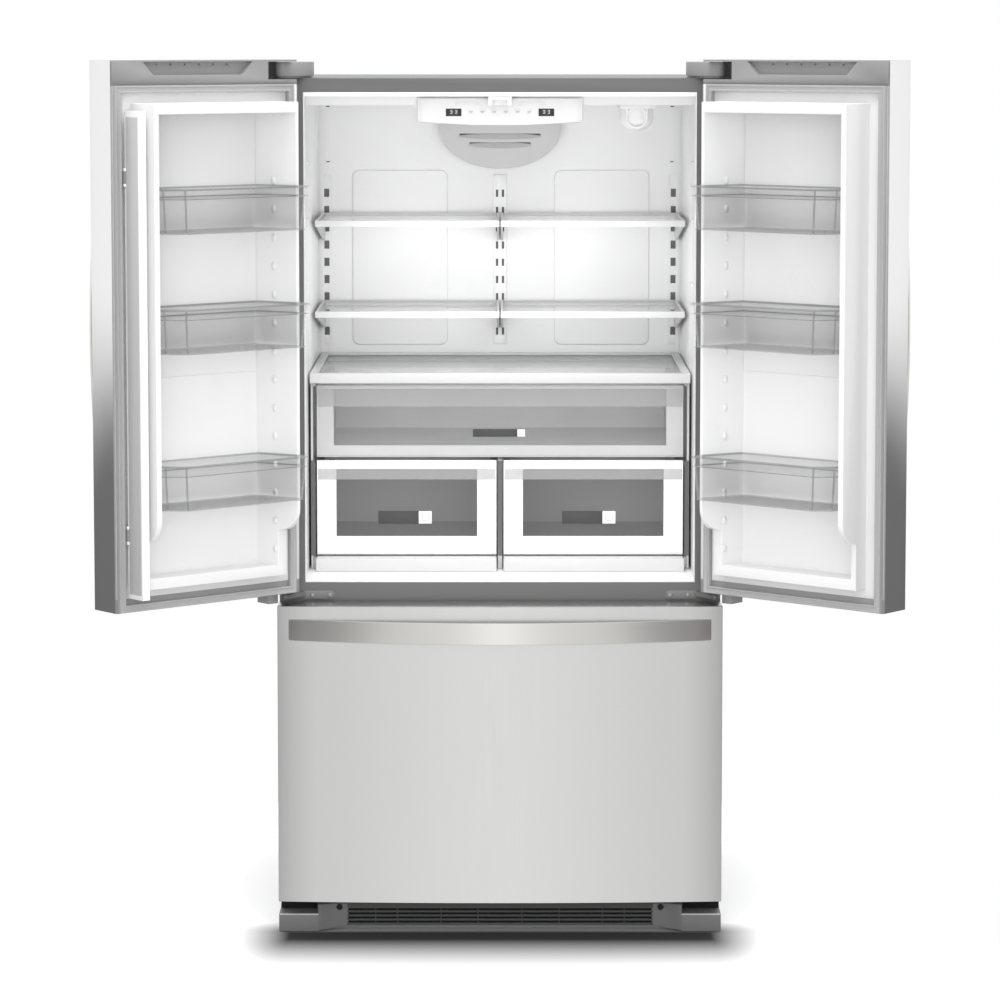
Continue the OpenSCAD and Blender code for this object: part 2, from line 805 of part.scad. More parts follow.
module door_handle_shape()
    difference() {
        translate([door_handle_u, 0, (door_handle_z[0] + door_handle_z[1]) / 2])
            bowed_band(door_handle_z[1] - door_handle_z[0], handle_w);
        translate([door_w / 2, 0, 0]) face_plane(door_w / 2, door_bow, door_handle_u + handle_w / 2 - door_w / 2,
            [door_handle_z[0] - 1, door_handle_z[1] + 1]);
    }

// Bin outline, from the recess to its front; the hinge-side front corner is left short on the
// lowest bin, which passes the pulled-out drawers
module bin_outline(corner_u, front)
    polygon([[96, 66], [386, 66], [391, 100], [391, 150], [388, 160], [356, front],
        [corner_u, front], [corner_u, 162], [66.5, 156]]);

module door_bins_shape()
    for (index = [0:2]) {
        corner_u = index == 0 ? 62 : 58;
        front = index == 0 ? 188 : 191;
        difference() {
            along_z([bin_floors[index], bin_floors[index] + 88]) bin_outline(corner_u, front);
            along_z([bin_floors[index] + 2.5, bin_floors[index] + 90])
                offset(delta = -2.4) bin_outline(corner_u, front);
        }
    }

// ---------------------------------------------------------------- mullion, in the left door's (u, v, z)

module mullion_hinges()
    color(cap_grey) left_door()
        for (z = mullion_knuckle_z) {
            rod_z(mullion_axis[0], mullion_axis[1], [z - 11, z + 11], mullion_knuckle_r);
            rod_z(mullion_axis[0], mullion_axis[1], [z - 17, z + 17], mullion_pin_r);
            block([424.5, 432], [door_t, mullion_axis[1]], [z - 11, z + 11]);
        }

module mullion_bar()
    color(liner_white) left_door()
        difference() {
            union() {
                block(mullion_u, mullion_v, mullion_z);
                for (z = mullion_knuckle_z, side = [-18, 12])
                    rod_z(mullion_axis[0], mullion_axis[1], [z + side, z + side + 6],
                        mullion_knuckle_r);
            }
            for (z = mullion_knuckle_z) {
                block([mullion_u[0] - 1, mullion_u[1] + 5], [mullion_v[0] - 6, mullion_v[0] + 8],
                    [z - 12, z + 12]);
                rod_z(mullion_axis[0], mullion_axis[1], [z - 20, z + 20], mullion_pin_r + 0.05);
            }
        }

// ---------------------------------------------------------------- nodes

outer_case();
rear_panel();
front_frame();
cabinet_foam();
fresh_liner();
freezer_liner();
base_tray();
toe_grille();
leveling_legs();
machine_cover();
compressor();
condenser_coil();
evaporator_coil();
evaporator_cover();
air_tower();
control_housing();
control_displays();
lamp_lens();
filter_housing();
mullion_guide();
shelf_ladders();
shelf_frames();
shelf_glass();
crisper_frame();
hinge_brackets();
hinge_screws();
hinge_covers();
freezer_rails();
fan_motors();
front_rollers();
rear_rollers();
condenser_fan();
evaporator_fan();
deli_drawer();
crisper_left();
crisper_right();
freezer_skin();
freezer_foam();
freezer_door_liner();
freezer_gasket();
freezer_handle();
freezer_runners();
freezer_bin();
freezer_basket();
mullion_hinges();
mullion_bar();
color(steel) left_door() door_skin_shape();  // door_left_skin
color(cap_grey) left_door() door_caps_shape();  // door_left_caps
color(foam_colour) left_door() door_foam_shape();  // door_left_foam
color(liner_white) left_door() door_liner_shape();  // door_left_liner
color(seal_grey) left_door() door_gasket_shape();  // door_left_gasket
color(steel) left_door() door_handle_shape();  // door_left_handle
color(clear_plastic) left_door() door_bins_shape();  // door_left_bins
color(steel) right_door() door_skin_shape();  // door_right_skin
color(cap_grey) right_door() door_caps_shape();  // door_right_caps
color(foam_colour) right_door() door_foam_shape();  // door_right_foam
color(liner_white) right_door() door_liner_shape();  // door_right_liner
color(seal_grey) right_door() door_gasket_shape();  // door_right_gasket
color(steel) right_door() door_handle_shape();  // door_right_handle
color(clear_plastic) right_door() door_bins_shape();  // door_right_bins
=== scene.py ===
"""Looks of the french door refrigerator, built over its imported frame."""

from __future__ import annotations

import json
import logging
import math
from dataclasses import dataclass
from enum import Enum
from typing import Callable, Iterable, Sequence

import bmesh
import bpy
from mathutils import Matrix, Vector

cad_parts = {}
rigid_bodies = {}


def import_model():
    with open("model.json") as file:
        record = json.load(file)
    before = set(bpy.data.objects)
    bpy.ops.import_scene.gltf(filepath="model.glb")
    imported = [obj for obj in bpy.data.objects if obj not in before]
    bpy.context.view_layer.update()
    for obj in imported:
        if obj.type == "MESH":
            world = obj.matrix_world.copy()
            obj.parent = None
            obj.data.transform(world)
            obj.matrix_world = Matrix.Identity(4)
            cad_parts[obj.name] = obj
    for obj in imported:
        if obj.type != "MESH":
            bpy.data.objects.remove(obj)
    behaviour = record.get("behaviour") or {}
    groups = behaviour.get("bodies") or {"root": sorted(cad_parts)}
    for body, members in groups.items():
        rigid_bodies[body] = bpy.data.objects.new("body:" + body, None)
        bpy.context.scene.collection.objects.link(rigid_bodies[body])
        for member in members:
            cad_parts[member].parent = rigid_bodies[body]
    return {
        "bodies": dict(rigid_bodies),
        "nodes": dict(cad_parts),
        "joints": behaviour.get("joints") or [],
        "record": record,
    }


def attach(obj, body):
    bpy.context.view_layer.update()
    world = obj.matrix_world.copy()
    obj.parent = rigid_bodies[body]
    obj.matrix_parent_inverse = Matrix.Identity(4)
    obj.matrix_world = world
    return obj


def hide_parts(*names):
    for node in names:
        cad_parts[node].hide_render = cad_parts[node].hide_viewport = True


LOG = logging.getLogger("refrigerator")
MM = 0.001
DOOR_FACE = 270.342
SIGNS = (-1, 1)
WELD = 1e-5
FLAT_ANGLE = 0.4
ROUND_ANGLE = 60
ACROSS = (1, 0, 0)
BACK = (0, 1, 0)
UP = (0, 0, 1)
MIRROR = Matrix.Scale(-1, 4, ACROSS)
Stops = tuple[tuple[float, float], ...]
Lobe = tuple[tuple[str, Stops], ...]
Test = Callable[[Vector, Vector], bool]


class Side(Enum):
    """The two doors."""

    LEFT = "left"
    RIGHT = "right"


# ------------------------------------------------------------------ shader expressions


class Wire:
    """A shader socket that Python operators turn into Math nodes."""

    def __init__(self, tree: "NodeTree", socket: bpy.types.NodeSocket) -> None:
        """Keeps the socket and the tree that it belongs to."""
        self.tree = tree
        self.socket = socket

    def __add__(self, other: "Wire | float") -> "Wire":
        """Sum."""
        return self.tree.math("ADD", self, other)

    def __sub__(self, other: "Wire | float") -> "Wire":
        """Difference."""
        return self.tree.math("SUBTRACT", self, other)

    def __rsub__(self, other: float) -> "Wire":
        """Difference from a number."""
        return self.tree.math("SUBTRACT", other, self)

    def __mul__(self, other: "Wire | float") -> "Wire":
        """Product."""
        return self.tree.math("MULTIPLY", self, other)

    __radd__ = __add__
    __rmul__ = __mul__


class NodeTree:
    """The node tree of one material."""

    def __init__(self, name: str) -> None:
        """Starts an empty material.

        Args:
            name: the material's name.
        """
        self.material = bpy.data.materials.new(name)
        self.material.use_nodes = True
        self.material.node_tree.nodes.clear()
        self.output = self.node("ShaderNodeOutputMaterial")
        self.shader = self.node("ShaderNodeBsdfPrincipled")
        self.link(self.shader.outputs[0], self.output.inputs["Surface"])

    def link(self, source: bpy.types.NodeSocket, target: bpy.types.NodeSocket) -> None:
        """Links two sockets."""
        self.material.node_tree.links.new(source, target)

    def node(
        self, kind: str, settings: dict | None = None, inputs: dict | None = None
    ) -> bpy.types.Node:
        """Adds a node.

        Args:
            kind: the node's type name.
            settings: its own settings, set first; a ramp's "stops" are (position, grey) pairs.
            inputs: values or wires for its sockets, by name or index.

        Returns:
            The node.
        """
        made = self.material.node_tree.nodes.new(kind)
        for key, value in (settings or {}).items():
            if key == "stops":
                for index, (place, grey) in enumerate(value):
                    stops = made.color_ramp.elements
                    stop = stops[index] if index < 2 else stops.new(place)
                    stop.position = place
                    stop.color = (grey, grey, grey, 1)
            else:
                setattr(made, key, value)
        for key, value in (inputs or {}).items():
            if isinstance(value, Wire):
                self.link(value.socket, made.inputs[key])
            else:
                made.inputs[key].default_value = value
        return made

    def math(self, operation: str, a: Wire | float, b: Wire | float = 0.0) -> Wire:
        """Adds a Math node and returns its value."""
        made = self.node("ShaderNodeMath", {"operation": operation}, {0: a, 1: b})
        return Wire(self, made.outputs[0])

    def axis(self, name: str) -> Wire:
        """One axis of the object coordinates, in metres."""
        split = self.node("ShaderNodeSeparateXYZ", None, {0: self.place()})
        return Wire(self, split.outputs[name])

    def place(self, stretch: Sequence[float] = (1, 1, 1)) -> Wire:
        """Object coordinates, multiplied axis by axis."""
        source = self.node("ShaderNodeTexCoord").outputs["Object"]
        mapped = self.node(
            "ShaderNodeMapping", None, {"Vector": Wire(self, source), "Scale": tuple(stretch)}
        )
        return Wire(self, mapped.outputs["Vector"])

    def noise(
        self, scale: float, detail: float = 3.0, stretch: Sequence[float] = (1, 1, 1)
    ) -> Wire:
        """Noise in object space, from 0 to 1 and mostly near 0.5."""
        made = self.node(
            "ShaderNodeTexNoise",
            None,
            {"Vector": self.place(stretch), "Scale": scale, "Detail": detail},
        )
        return Wire(self, made.outputs["Fac"])

    def blend(self, amount: Wire, low: Sequence[float], high: Sequence[float]) -> Wire:
        """A colour between two, by an amount from 0 to 1."""
        made = self.node(
            "ShaderNodeMix",
            {"data_type": "RGBA"},
            {0: amount, 6: (*low, 1.0), 7: (*high, 1.0)},
        )
        return Wire(self, made.outputs[2])

    def set(self, socket: str, value: Wire | float | Sequence[float]) -> None:
        """Sets or links one of the main shader's inputs."""
        if isinstance(value, Wire):
            self.link(value.socket, self.shader.inputs[socket])
        else:
            self.shader.inputs[socket].default_value = value

    def bump(self, height: Wire, distance: float, strength: float = 1.0) -> None:
        """Feeds a bump of a height in metres to the shader's normal."""
        made = self.node(
            "ShaderNodeBump",
            None,
            {"Height": height, "Distance": distance, "Strength": strength},
        )
        self.link(made.outputs[0], self.shader.inputs["Normal"])


def scaled(colour: Sequence[float], factor: float) -> tuple[float, float, float]:
    """A colour made lighter or darker."""
    return tuple(min(1.0, c * factor) for c in colour)


def grey(tone: float) -> tuple[float, float, float]:
    """A colour without a tint."""
    return (tone, tone, tone)


@dataclass(frozen=True)
class Finish:
    """A finish with a soft, uneven sheen, and the record's slot that it belongs to."""

    name: str
    slot: str
    colour: tuple[float, float, float]
    roughness: float = 0.4
    metallic: float = 0.0
    mottle: float = 0.03
    grain_scale: float = 900.0
    grain_depth: float = 0.00002
    coat: float = 0.0

    def mottled(self, tree: NodeTree, amount: Wire) -> Wire:
        """The colour, made a little darker or lighter by an amount from 0 to 1."""
        return tree.blend(
            amount, scaled(self.colour, 1 - self.mottle), scaled(self.colour, 1 + self.mottle)
        )

    def build(self) -> bpy.types.Material:
        """Makes the material.

        Returns:
            A material with faint mottling, an uneven roughness and a fine surface grain.
        """
        tree = NodeTree(self.name)
        cloud = tree.noise(6.0, 4.0)
        grain = tree.noise(self.grain_scale, 2.0)
        tree.set("Base Color", self.mottled(tree, cloud))
        tree.set("Roughness", self.roughness + (cloud - 0.5) * 0.12 + (grain - 0.5) * 0.1)
        tree.set("Metallic", self.metallic)
        tree.set("Coat Weight", self.coat)
        tree.set("Coat Roughness", 0.12)
        tree.bump(grain, self.grain_depth)
        return tree.material


@dataclass(frozen=True)
class BrushedFinish(Finish):
    """Brushed stainless steel, with fine lines along one axis."""

    along: int = 2

    def build(self) -> bpy.types.Material:
        """Makes the material, its grain drawn out along the chosen axis."""
        tree = NodeTree(self.name)
        stretch = [1.0, 1.0, 1.0]
        stretch[self.along] = 0.012
        lines = tree.noise(2600.0, 3.0, stretch)
        broad = tree.noise(420.0, 2.0, stretch)
        cloud = tree.noise(3.0, 2.0)
        streak = lines * 0.6 + broad * 0.4
        tree.set("Base Color", self.mottled(tree, streak * 0.8 + cloud * 0.2))
        tree.set("Roughness", self.roughness + (streak - 0.5) * 0.18)
        tree.set("Metallic", 1.0)
        tree.bump(lines, self.grain_depth, 0.35)
        return tree.material


@dataclass(frozen=True)
class ClearFinish(Finish):
    """Clear or frosted plastic and glass, a thin sheet that shows what lies behind it."""

    mottle: float = 0.01
    opacity: float = 0.25

    def build(self) -> bpy.types.Material:
        """Makes the material, glossy and a little uneven in how much it hides."""
        tree = NodeTree(self.name)
        cloud = tree.noise(9.0, 3.0)
        tree.set("Base Color", self.mottled(tree, cloud))
        tree.set("Roughness", self.roughness + (cloud - 0.5) * 0.06)
        tree.set("Alpha", (cloud * 0.2 + 0.9) * self.opacity)
        tree.bump(tree.noise(30.0, 2.0), 0.0002, 0.2)
        return tree.material


class Finishes:
    """Every finish, each made once when first used."""

    STAINLESS = BrushedFinish("stainless", "stainless", (0.66, 0.66, 0.655), 0.24, 1.0, 0.035)
    EDGE_STEEL = BrushedFinish("edge_steel", "stainless", grey(0.68), 0.1, 1.0, 0.02)
    HANDLE = BrushedFinish("handle_steel", "stainless", (0.70, 0.685, 0.66), 0.2, 1.0, 0.03)
    HANDLE_WIDE = BrushedFinish(
        "handle_steel_wide", "stainless", (0.74, 0.725, 0.70), 0.2, 1.0, 0.03, along=0
    )
    FRAME = Finish("frame_paint", "frame_paint", grey(0.14), 0.38, 0.2, coat=0.15)
    HINGE = Finish("hinge_paint", "frame_paint", grey(0.2), 0.35, 0.3, coat=0.2)
    CASE = Finish("case_paint", "case_paint", (0.17, 0.175, 0.18), 0.45, 0.2, grain_depth=0.00008)
    ZINC = Finish("zinc_steel", "zinc_steel", (0.55, 0.56, 0.57), 0.38, 1.0, 0.08)
    FOAM = Finish("foam", "foam", (0.85, 0.78, 0.55), 0.9)
    # A darker copy of the liner white, painted on as shade on the shelf frames, the crisper frame
    # and the deck under the crispers.
    RIM_SHADED_WHITE = Finish("rim_shaded_white", "liner_white", grey(0.62), 0.35, mottle=0.01)
    LINER = Finish("liner_white", "liner_white", grey(0.86), 0.3, mottle=0.01, coat=0.2)
    # A darker copy of the liner white, painted on as the shade on the doors' liners.
    DOOR_LINER = Finish("door_liner_shaded_white", "liner_white", grey(0.74), 0.3, mottle=0.01, coat=0.2)
    # A grey copy of the liner white, painted on as the shade on the air tower.
    TOWER_SHADE = Finish("tower_shaded_white", "liner_white", grey(0.54), 0.35, mottle=0.01, coat=0.2)
    CAP = Finish("cap_grey", "cap_grey", grey(0.27), 0.5, grain_depth=0.00006)
    FLANGE = Finish("flange_grey", "seal_grey", grey(0.36), 0.45)
    # Grey of the mullion's steel strip; also the painted highlight along the leg covers' top edges.
    STRIP = Finish("strip_grey", "cap_grey", grey(0.5), 0.4)
    SEAL = Finish("seal_grey", "seal_grey", grey(0.36), 0.6)
    GRILLE = Finish("grille_grey", "grille_grey", (0.15, 0.15, 0.152), 0.42, grain_depth=0.00006)
    # A darker copy of the grille grey, painted on as shade on the grille's faces that don't face
    # up.
    GRILLE_SHADED = Finish("grille_painted_shade", "grille_grey", (0.045, 0.045, 0.046), 0.42, grain_depth=0.00006)
    # Near black: painted shade in the toe recesses and behind the grille, and the colour of the toe
    # screws.
    DARK = Finish("shade_and_screw_black", "grille_grey", grey(0.01), 0.8)
    ENAMEL = Finish("black_enamel", "black_enamel", (0.012, 0.012, 0.014), 0.3, coat=0.5)
    COPPER = Finish("copper_tube", "copper_tube", (0.72, 0.36, 0.2), 0.3, 1.0, 0.1)
    COIL = Finish("coil_aluminium", "coil_aluminium", (0.78, 0.79, 0.8), 0.35, 1.0, 0.05)
    FAN = Finish("fan_plastic", "fan_plastic", (0.03, 0.03, 0.032), 0.45)
    DISPLAY = Finish("display_black", "display_black", (0.008, 0.008, 0.01), 0.12, coat=0.8)
    MARK = Finish("mark_grey", "cap_grey", (0.3, 0.3, 0.31), 0.5)
    # Dark grey painted on as the shade inside slots and gaps.
    SLOT_SHADE = Finish("slot_painted_shade", "cap_grey", grey(0.13), 0.6)
    VENT_GREY = Finish("vent_grey", "cap_grey", grey(0.42), 0.6)
    LABEL = Finish("label_grey", "grille_grey", (0.06, 0.06, 0.062), 0.4)
    FROSTED = ClearFinish("frosted_plastic", "clear_plastic", grey(0.66), 0.4, opacity=0.8)
    BEZEL = ClearFinish("bezel_plastic", "clear_plastic", grey(0.95), 0.35, opacity=0.93)
    BAND = ClearFinish("band_plastic", "clear_plastic", grey(0.6), 0.3, mottle=0.02, opacity=0.3)
    # Darker clear plastic, painted on as the shade that clear edges, corners and drawer feet show.
    RIM = ClearFinish(
        "rim_plastic_edge_shade", "clear_plastic", (0.55, 0.56, 0.56), 0.15, mottle=0.02, opacity=0.2
    )
    CLEAR = ClearFinish("clear_plastic", "clear_plastic", grey(0.97), 0.08, opacity=0.025)
    PAN = ClearFinish("pan_plastic", "clear_plastic", grey(0.97), 0.35, opacity=0.5)
    # A darker copy of the pan plastic, painted on as the shade inside the crispers.
    PAN_SHADED = ClearFinish("pan_painted_shade", "clear_plastic", grey(0.68), 0.35, opacity=0.62)
    PANE = ClearFinish("cover_glass", "shelf_glass", (0.8, 0.81, 0.81), 0.15, opacity=0.45)
    GLASS = ClearFinish("shelf_glass", "shelf_glass", (0.66, 0.68, 0.675), 0.05, opacity=0.13)
    LAMP = Finish("lamp_plastic", "lamp_plastic", (0.95, 0.95, 0.92), 0.4)

    _made: dict[str, bpy.types.Material] = {}

    @classmethod
    def of(cls, finish: Finish) -> bpy.types.Material:
        """The material of a finish, made on first use."""
        if finish.name not in cls._made:
            cls._made[finish.name] = finish.build()
        return cls._made[finish.name]


# ------------------------------------------------------------------ modelling


class Bench:
    """Modelling moves on one mesh object at a time."""

    @staticmethod
    def only(*objects: bpy.types.Object) -> None:
        """Selects these objects and no others, the first one active."""
        if bpy.context.object and bpy.context.object.mode != "OBJECT":
            bpy.ops.object.mode_set(mode="OBJECT")
        bpy.ops.object.select_all(action="DESELECT")
        for made in objects:
            made.select_set(True)
        bpy.context.view_layer.objects.active = objects[0]

    @classmethod
    def block(cls, name: str, low: Sequence[float], high: Sequence[float]) -> bpy.types.Object:
        """A box between two corners, as a starting shape."""
        centre = [(a + b) / 2 for a, b in zip(low, high)]
        size = [b - a for a, b in zip(low, high)]
        bpy.ops.object.select_all(action="DESELECT")
        bpy.ops.mesh.primitive_cube_add(size=1, location=centre, scale=size)
        return cls.named(name)

    @classmethod
    def slab(
        cls,
        name: str,
        x: Sequence[float],
        y: Sequence[float],
        z: Sequence[float],
        edge: float = 0.0,
        segments: int = 2,
    ) -> bpy.types.Object:
        """A box from millimetre limits in the cabinet's axes, with its edges rounded."""
        made = cls.block(name, spot(min(x), min(y), min(z)), spot(max(x), max(y), max(z)))
        return cls.rounded(made, edge * MM, segments) if edge else made

    @classmethod
    def pair(
        cls,
        name: str,
        x: Sequence[float],
        y: Sequence[float],
        z: Sequence[float],
        edge: float = 0.0,
        segments: int = 2,
    ) -> list[bpy.types.Object]:
        """The same box on the left and on the right of the middle."""
        return [
            cls.slab(name, (sign * x[0], sign * x[1]), y, z, edge, segments) for sign in SIGNS
        ]

    @classmethod
    def edit(cls, made: bpy.types.Object) -> None:
        """Enters edit mode with a whole mesh selected."""
        cls.only(made)
        bpy.ops.object.mode_set(mode="EDIT")
        bpy.ops.mesh.select_all(action="SELECT")

    @classmethod
    def split(
        cls,
        made: bpy.types.Object,
        point: Sequence[float],
        normal: Sequence[float],
        **options: bool,
    ) -> None:
        """Cuts a mesh along a plane, and fills it or clears a side as the options say."""
        cls.edit(made)
        bpy.ops.mesh.bisect(plane_co=point, plane_no=normal, **options)
        cls.done()

    @classmethod
    def slice(
        cls,
        made: bpy.types.Object,
        name: str,
        low: float,
        high: float,
        grow: float = 0.0,
        axis: int = 2,
    ) -> bpy.types.Object:
        """A closed copy of the part of a piece between two levels, made a little fatter."""
        other = cls.twin(made, name)
        normal = [0.0, 0.0, 0.0]
        normal[axis] = 1.0
        for level, inner in ((low, True), (high, False)):
            point = [level * n for n in normal]
            cls.split(
                other, point, normal, use_fill=True, clear_inner=inner, clear_outer=not inner
            )
        if grow:
            cls.edit(other)
            bpy.ops.transform.shrink_fatten(value=grow)
            cls.done()
        return other

    @classmethod
    def disc(
        cls,
        name: str,
        centre: Sequence[float],
        radius: float,
        depth: float,
        axis: int = 2,
        sides: int = 32,
    ) -> bpy.types.Object:
        """A short cylinder about one axis."""
        turn = {0: (0, math.pi / 2, 0), 1: (math.pi / 2, 0, 0), 2: (0, 0, 0)}[axis]
        bpy.ops.object.select_all(action="DESELECT")
        bpy.ops.mesh.primitive_cylinder_add(
            vertices=sides, radius=radius, depth=depth, location=centre, rotation=turn
        )
        return cls.named(name)

    @classmethod
    def ball(
        cls, name: str, centre: Sequence[float], size: Sequence[float], counts: tuple[int, int]
    ) -> bpy.types.Object:
        """An ellipsoid from half sizes in millimetres and its counts of segments and rings."""
        bpy.ops.object.select_all(action="DESELECT")
        bpy.ops.mesh.primitive_uv_sphere_add(
            segments=counts[0],
            ring_count=counts[1],
            radius=1,
            location=centre,
            scale=[half * MM for half in size],
        )
        return cls.named(name)

    @classmethod
    def ring(
        cls,
        name: str,
        centre: Sequence[float],
        radius: float,
        thick: float,
        counts: tuple[int, int],
    ) -> bpy.types.Object:
        """A ring that faces the front, from its two radii in metres and its segment counts."""
        bpy.ops.object.select_all(action="DESELECT")
        bpy.ops.mesh.primitive_torus_add(
            major_segments=counts[0],
            minor_segments=counts[1],
            major_radius=radius,
            minor_radius=thick,
            location=centre,
            rotation=(math.pi / 2, 0, 0),
        )
        return cls.smooth(cls.named(name), ROUND_ANGLE)

    @classmethod
    def named(cls, name: str) -> bpy.types.Object:
        """Names the active object and puts its place into its mesh."""
        made = bpy.context.object
        made.name = name
        made.data.name = name
        bpy.ops.object.transform_apply(location=True, rotation=True, scale=True)
        return made

    @classmethod
    def copy_of(cls, node: str, name: str) -> bpy.types.Object:
        """A merged copy of a frame node's mesh, ready to shape.

        Args:
            node: the frame's node.
            name: the new piece's name.

        Returns:
            An object with welded corners and flat faces made whole.
        """
        made = bpy.data.objects.new(name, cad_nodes()[node].data.copy())
        made.data.materials.clear()
        bpy.context.scene.collection.objects.link(made)
        cls.edit(made)
        bpy.ops.mesh.remove_doubles(threshold=WELD)
        bpy.ops.mesh.dissolve_limited(angle_limit=math.radians(FLAT_ANGLE))
        cls.done()
        return made

    @classmethod
    def pick(cls, made: bpy.types.Object, mode: str, test: Test) -> int:
        """Selects faces, edges or corners by a test of their centre and normal, in edit mode.

        Args:
            made: the object, which is left in edit mode.
            mode: "FACE", "EDGE" or "VERT".
            test: called with a centre and a normal (a direction, for an edge).

        Returns:
            How many were selected.
        """
        cls.only(made)
        bpy.ops.object.mode_set(mode="EDIT")
        bpy.ops.mesh.select_mode(type=mode)
        bpy.ops.mesh.select_all(action="DESELECT")
        mesh = bmesh.from_edit_mesh(made.data)
        count = 0
        if mode == "FACE":
            for face in mesh.faces:
                if test(face.calc_center_median(), face.normal):
                    face.select = True
                    count += 1
        elif mode == "EDGE":
            for edge in mesh.edges:
                a, b = edge.verts[0].co, edge.verts[1].co
                if test((a + b) / 2, (b - a).normalized()):
                    edge.select = True
                    count += 1
        else:
            for vert in mesh.verts:
                if test(vert.co, vert.normal):
                    vert.select = True
                    count += 1
        mesh.select_flush_mode()
        bmesh.update_edit_mesh(made.data)
        return count

    @classmethod
    def repaint(cls, made: bpy.types.Object, finish: Finish, test: Test) -> None:
        """Gives the faces that pass a test a second finish."""
        made.data.materials.append(Finishes.of(finish))
        cls.pick(made, "FACE", test)
        made.active_material_index = 1
        bpy.ops.object.material_slot_assign()
        cls.done()

    @staticmethod
    def done() -> None:
        """Leaves edit mode."""
        bpy.ops.object.mode_set(mode="OBJECT")

    @classmethod
    def modify(cls, made: bpy.types.Object, kind: str, **settings: object) -> None:
        """Adds one modifier and applies it."""
        cls.only(made)
        added = made.modifiers.new(kind.lower(), kind)
        for key, value in settings.items():
            setattr(added, key, value)
        bpy.ops.object.modifier_apply(modifier=added.name)

    @classmethod
    def rounded(
        cls, made: bpy.types.Object, width: float, segments: int = 3, angle: float = 35
    ) -> bpy.types.Object:
        """Rounds every sharp edge and smooths the shading over the rounds."""
        cls.modify(
            made,
            "BEVEL",
            width=width,
            segments=segments,
            limit_method="ANGLE",
            angle_limit=math.radians(angle),
            harden_normals=False,
            use_clamp_overlap=True,
        )
        return cls.smooth(made)

    @classmethod
    def smooth(cls, made: bpy.types.Object, angle: float = 40) -> bpy.types.Object:
        """Smooths the shading between faces that meet at a low angle."""
        cls.only(made)
        bpy.ops.object.shade_smooth_by_angle(angle=math.radians(angle))
        return made

    @classmethod
    def cut(cls, made: bpy.types.Object, cutter: bpy.types.Object) -> bpy.types.Object:
        """Cuts one object out of another and deletes the cutter."""
        cls.modify(made, "BOOLEAN", operation="DIFFERENCE", object=cutter, solver="EXACT")
        bpy.data.objects.remove(cutter)
        return made

    @classmethod
    def join(cls, name: str, parts: Sequence[bpy.types.Object]) -> bpy.types.Object:
        """Joins objects into the first one."""
        cls.only(*parts)
        if len(parts) > 1:
            bpy.ops.object.join()
        made = bpy.context.view_layer.objects.active
        made.name = name
        made.data.name = name
        return made

    @classmethod
    def moved(cls, made: bpy.types.Object, matrix: Matrix) -> bpy.types.Object:
        """Moves a mesh by a matrix, and turns its faces back out if that mirrors it."""
        made.data.transform(matrix)
        if matrix.determinant() < 0:
            cls.edit(made)
            bpy.ops.mesh.flip_normals()
            cls.done()
        return made

    @staticmethod
    def twin(made: bpy.types.Object, name: str) -> bpy.types.Object:
        """A second object with its own copy of the mesh."""
        other = bpy.data.objects.new(name, made.data.copy())
        bpy.context.scene.collection.objects.link(other)
        return other


def spot(x: float, y: float, z: float) -> tuple[float, float, float]:
    """A point in metres, from millimetres across, back from the doors' faces and up."""
    return (x * MM, (y - DOOR_FACE) * MM, z * MM)


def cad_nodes() -> dict[str, bpy.types.Object]:
    """The frame's nodes."""
    return Factory.frame["nodes"]


def finish_piece(
    made: bpy.types.Object, finish: Finish, body: str, replaces: Iterable[str] = ()
) -> bpy.types.Object:
    """Gives a piece its finish, its body and the nodes that it stands for.

    Args:
        made: the piece.
        finish: its finish.
        body: the body that it rides on.
        replaces: the frame nodes that it hides.

    Returns:
        The piece.
    """
    made.data.materials.clear()
    made.data.materials.append(Finishes.of(finish))
    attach(made, body)
    nodes = list(replaces)
    if nodes:
        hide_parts(*nodes)
    LOG.info("made %s on %s", made.name, body)
    return made


class Factory:
    """Holds the loaded frame for the sub-assemblies."""

    frame: dict = {}

    @classmethod
    def load(cls) -> None:
        """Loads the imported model."""
        cls.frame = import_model()
        bpy.ops.object.select_all(action="DESELECT")


@dataclass
class SubAssembly:
    """A group of pieces that are made and dressed together."""

    body: str = "cabinet"

    def soften(
        self, node: str, finish: Finish, width: float, segments: int = 2, name: str = ""
    ) -> bpy.types.Object:
        """Replaces a node with a copy whose edges are rounded."""
        made = Bench.copy_of(node, name or f"{node}_moulding")
        Bench.rounded(made, width, segments)
        return finish_piece(made, finish, self.body, [node])

    def add(
        self,
        name: str,
        parts: Sequence[bpy.types.Object],
        finish: Finish,
        replaces: Iterable[str] = (),
    ) -> bpy.types.Object:
        """Joins parts into one piece of this body, with a finish and the nodes it replaces."""
        return finish_piece(Bench.join(name, parts), finish, self.body, replaces)

    def dress(self, node: str, finish: Finish) -> None:
        """Gives a node that stays as it is a finish of its own."""
        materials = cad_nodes()[node].data.materials
        material = Finishes.of(finish)
        if len(materials):
            for index in range(len(materials)):
                materials[index] = material
        else:
            materials.append(material)


# ------------------------------------------------------------------ doors


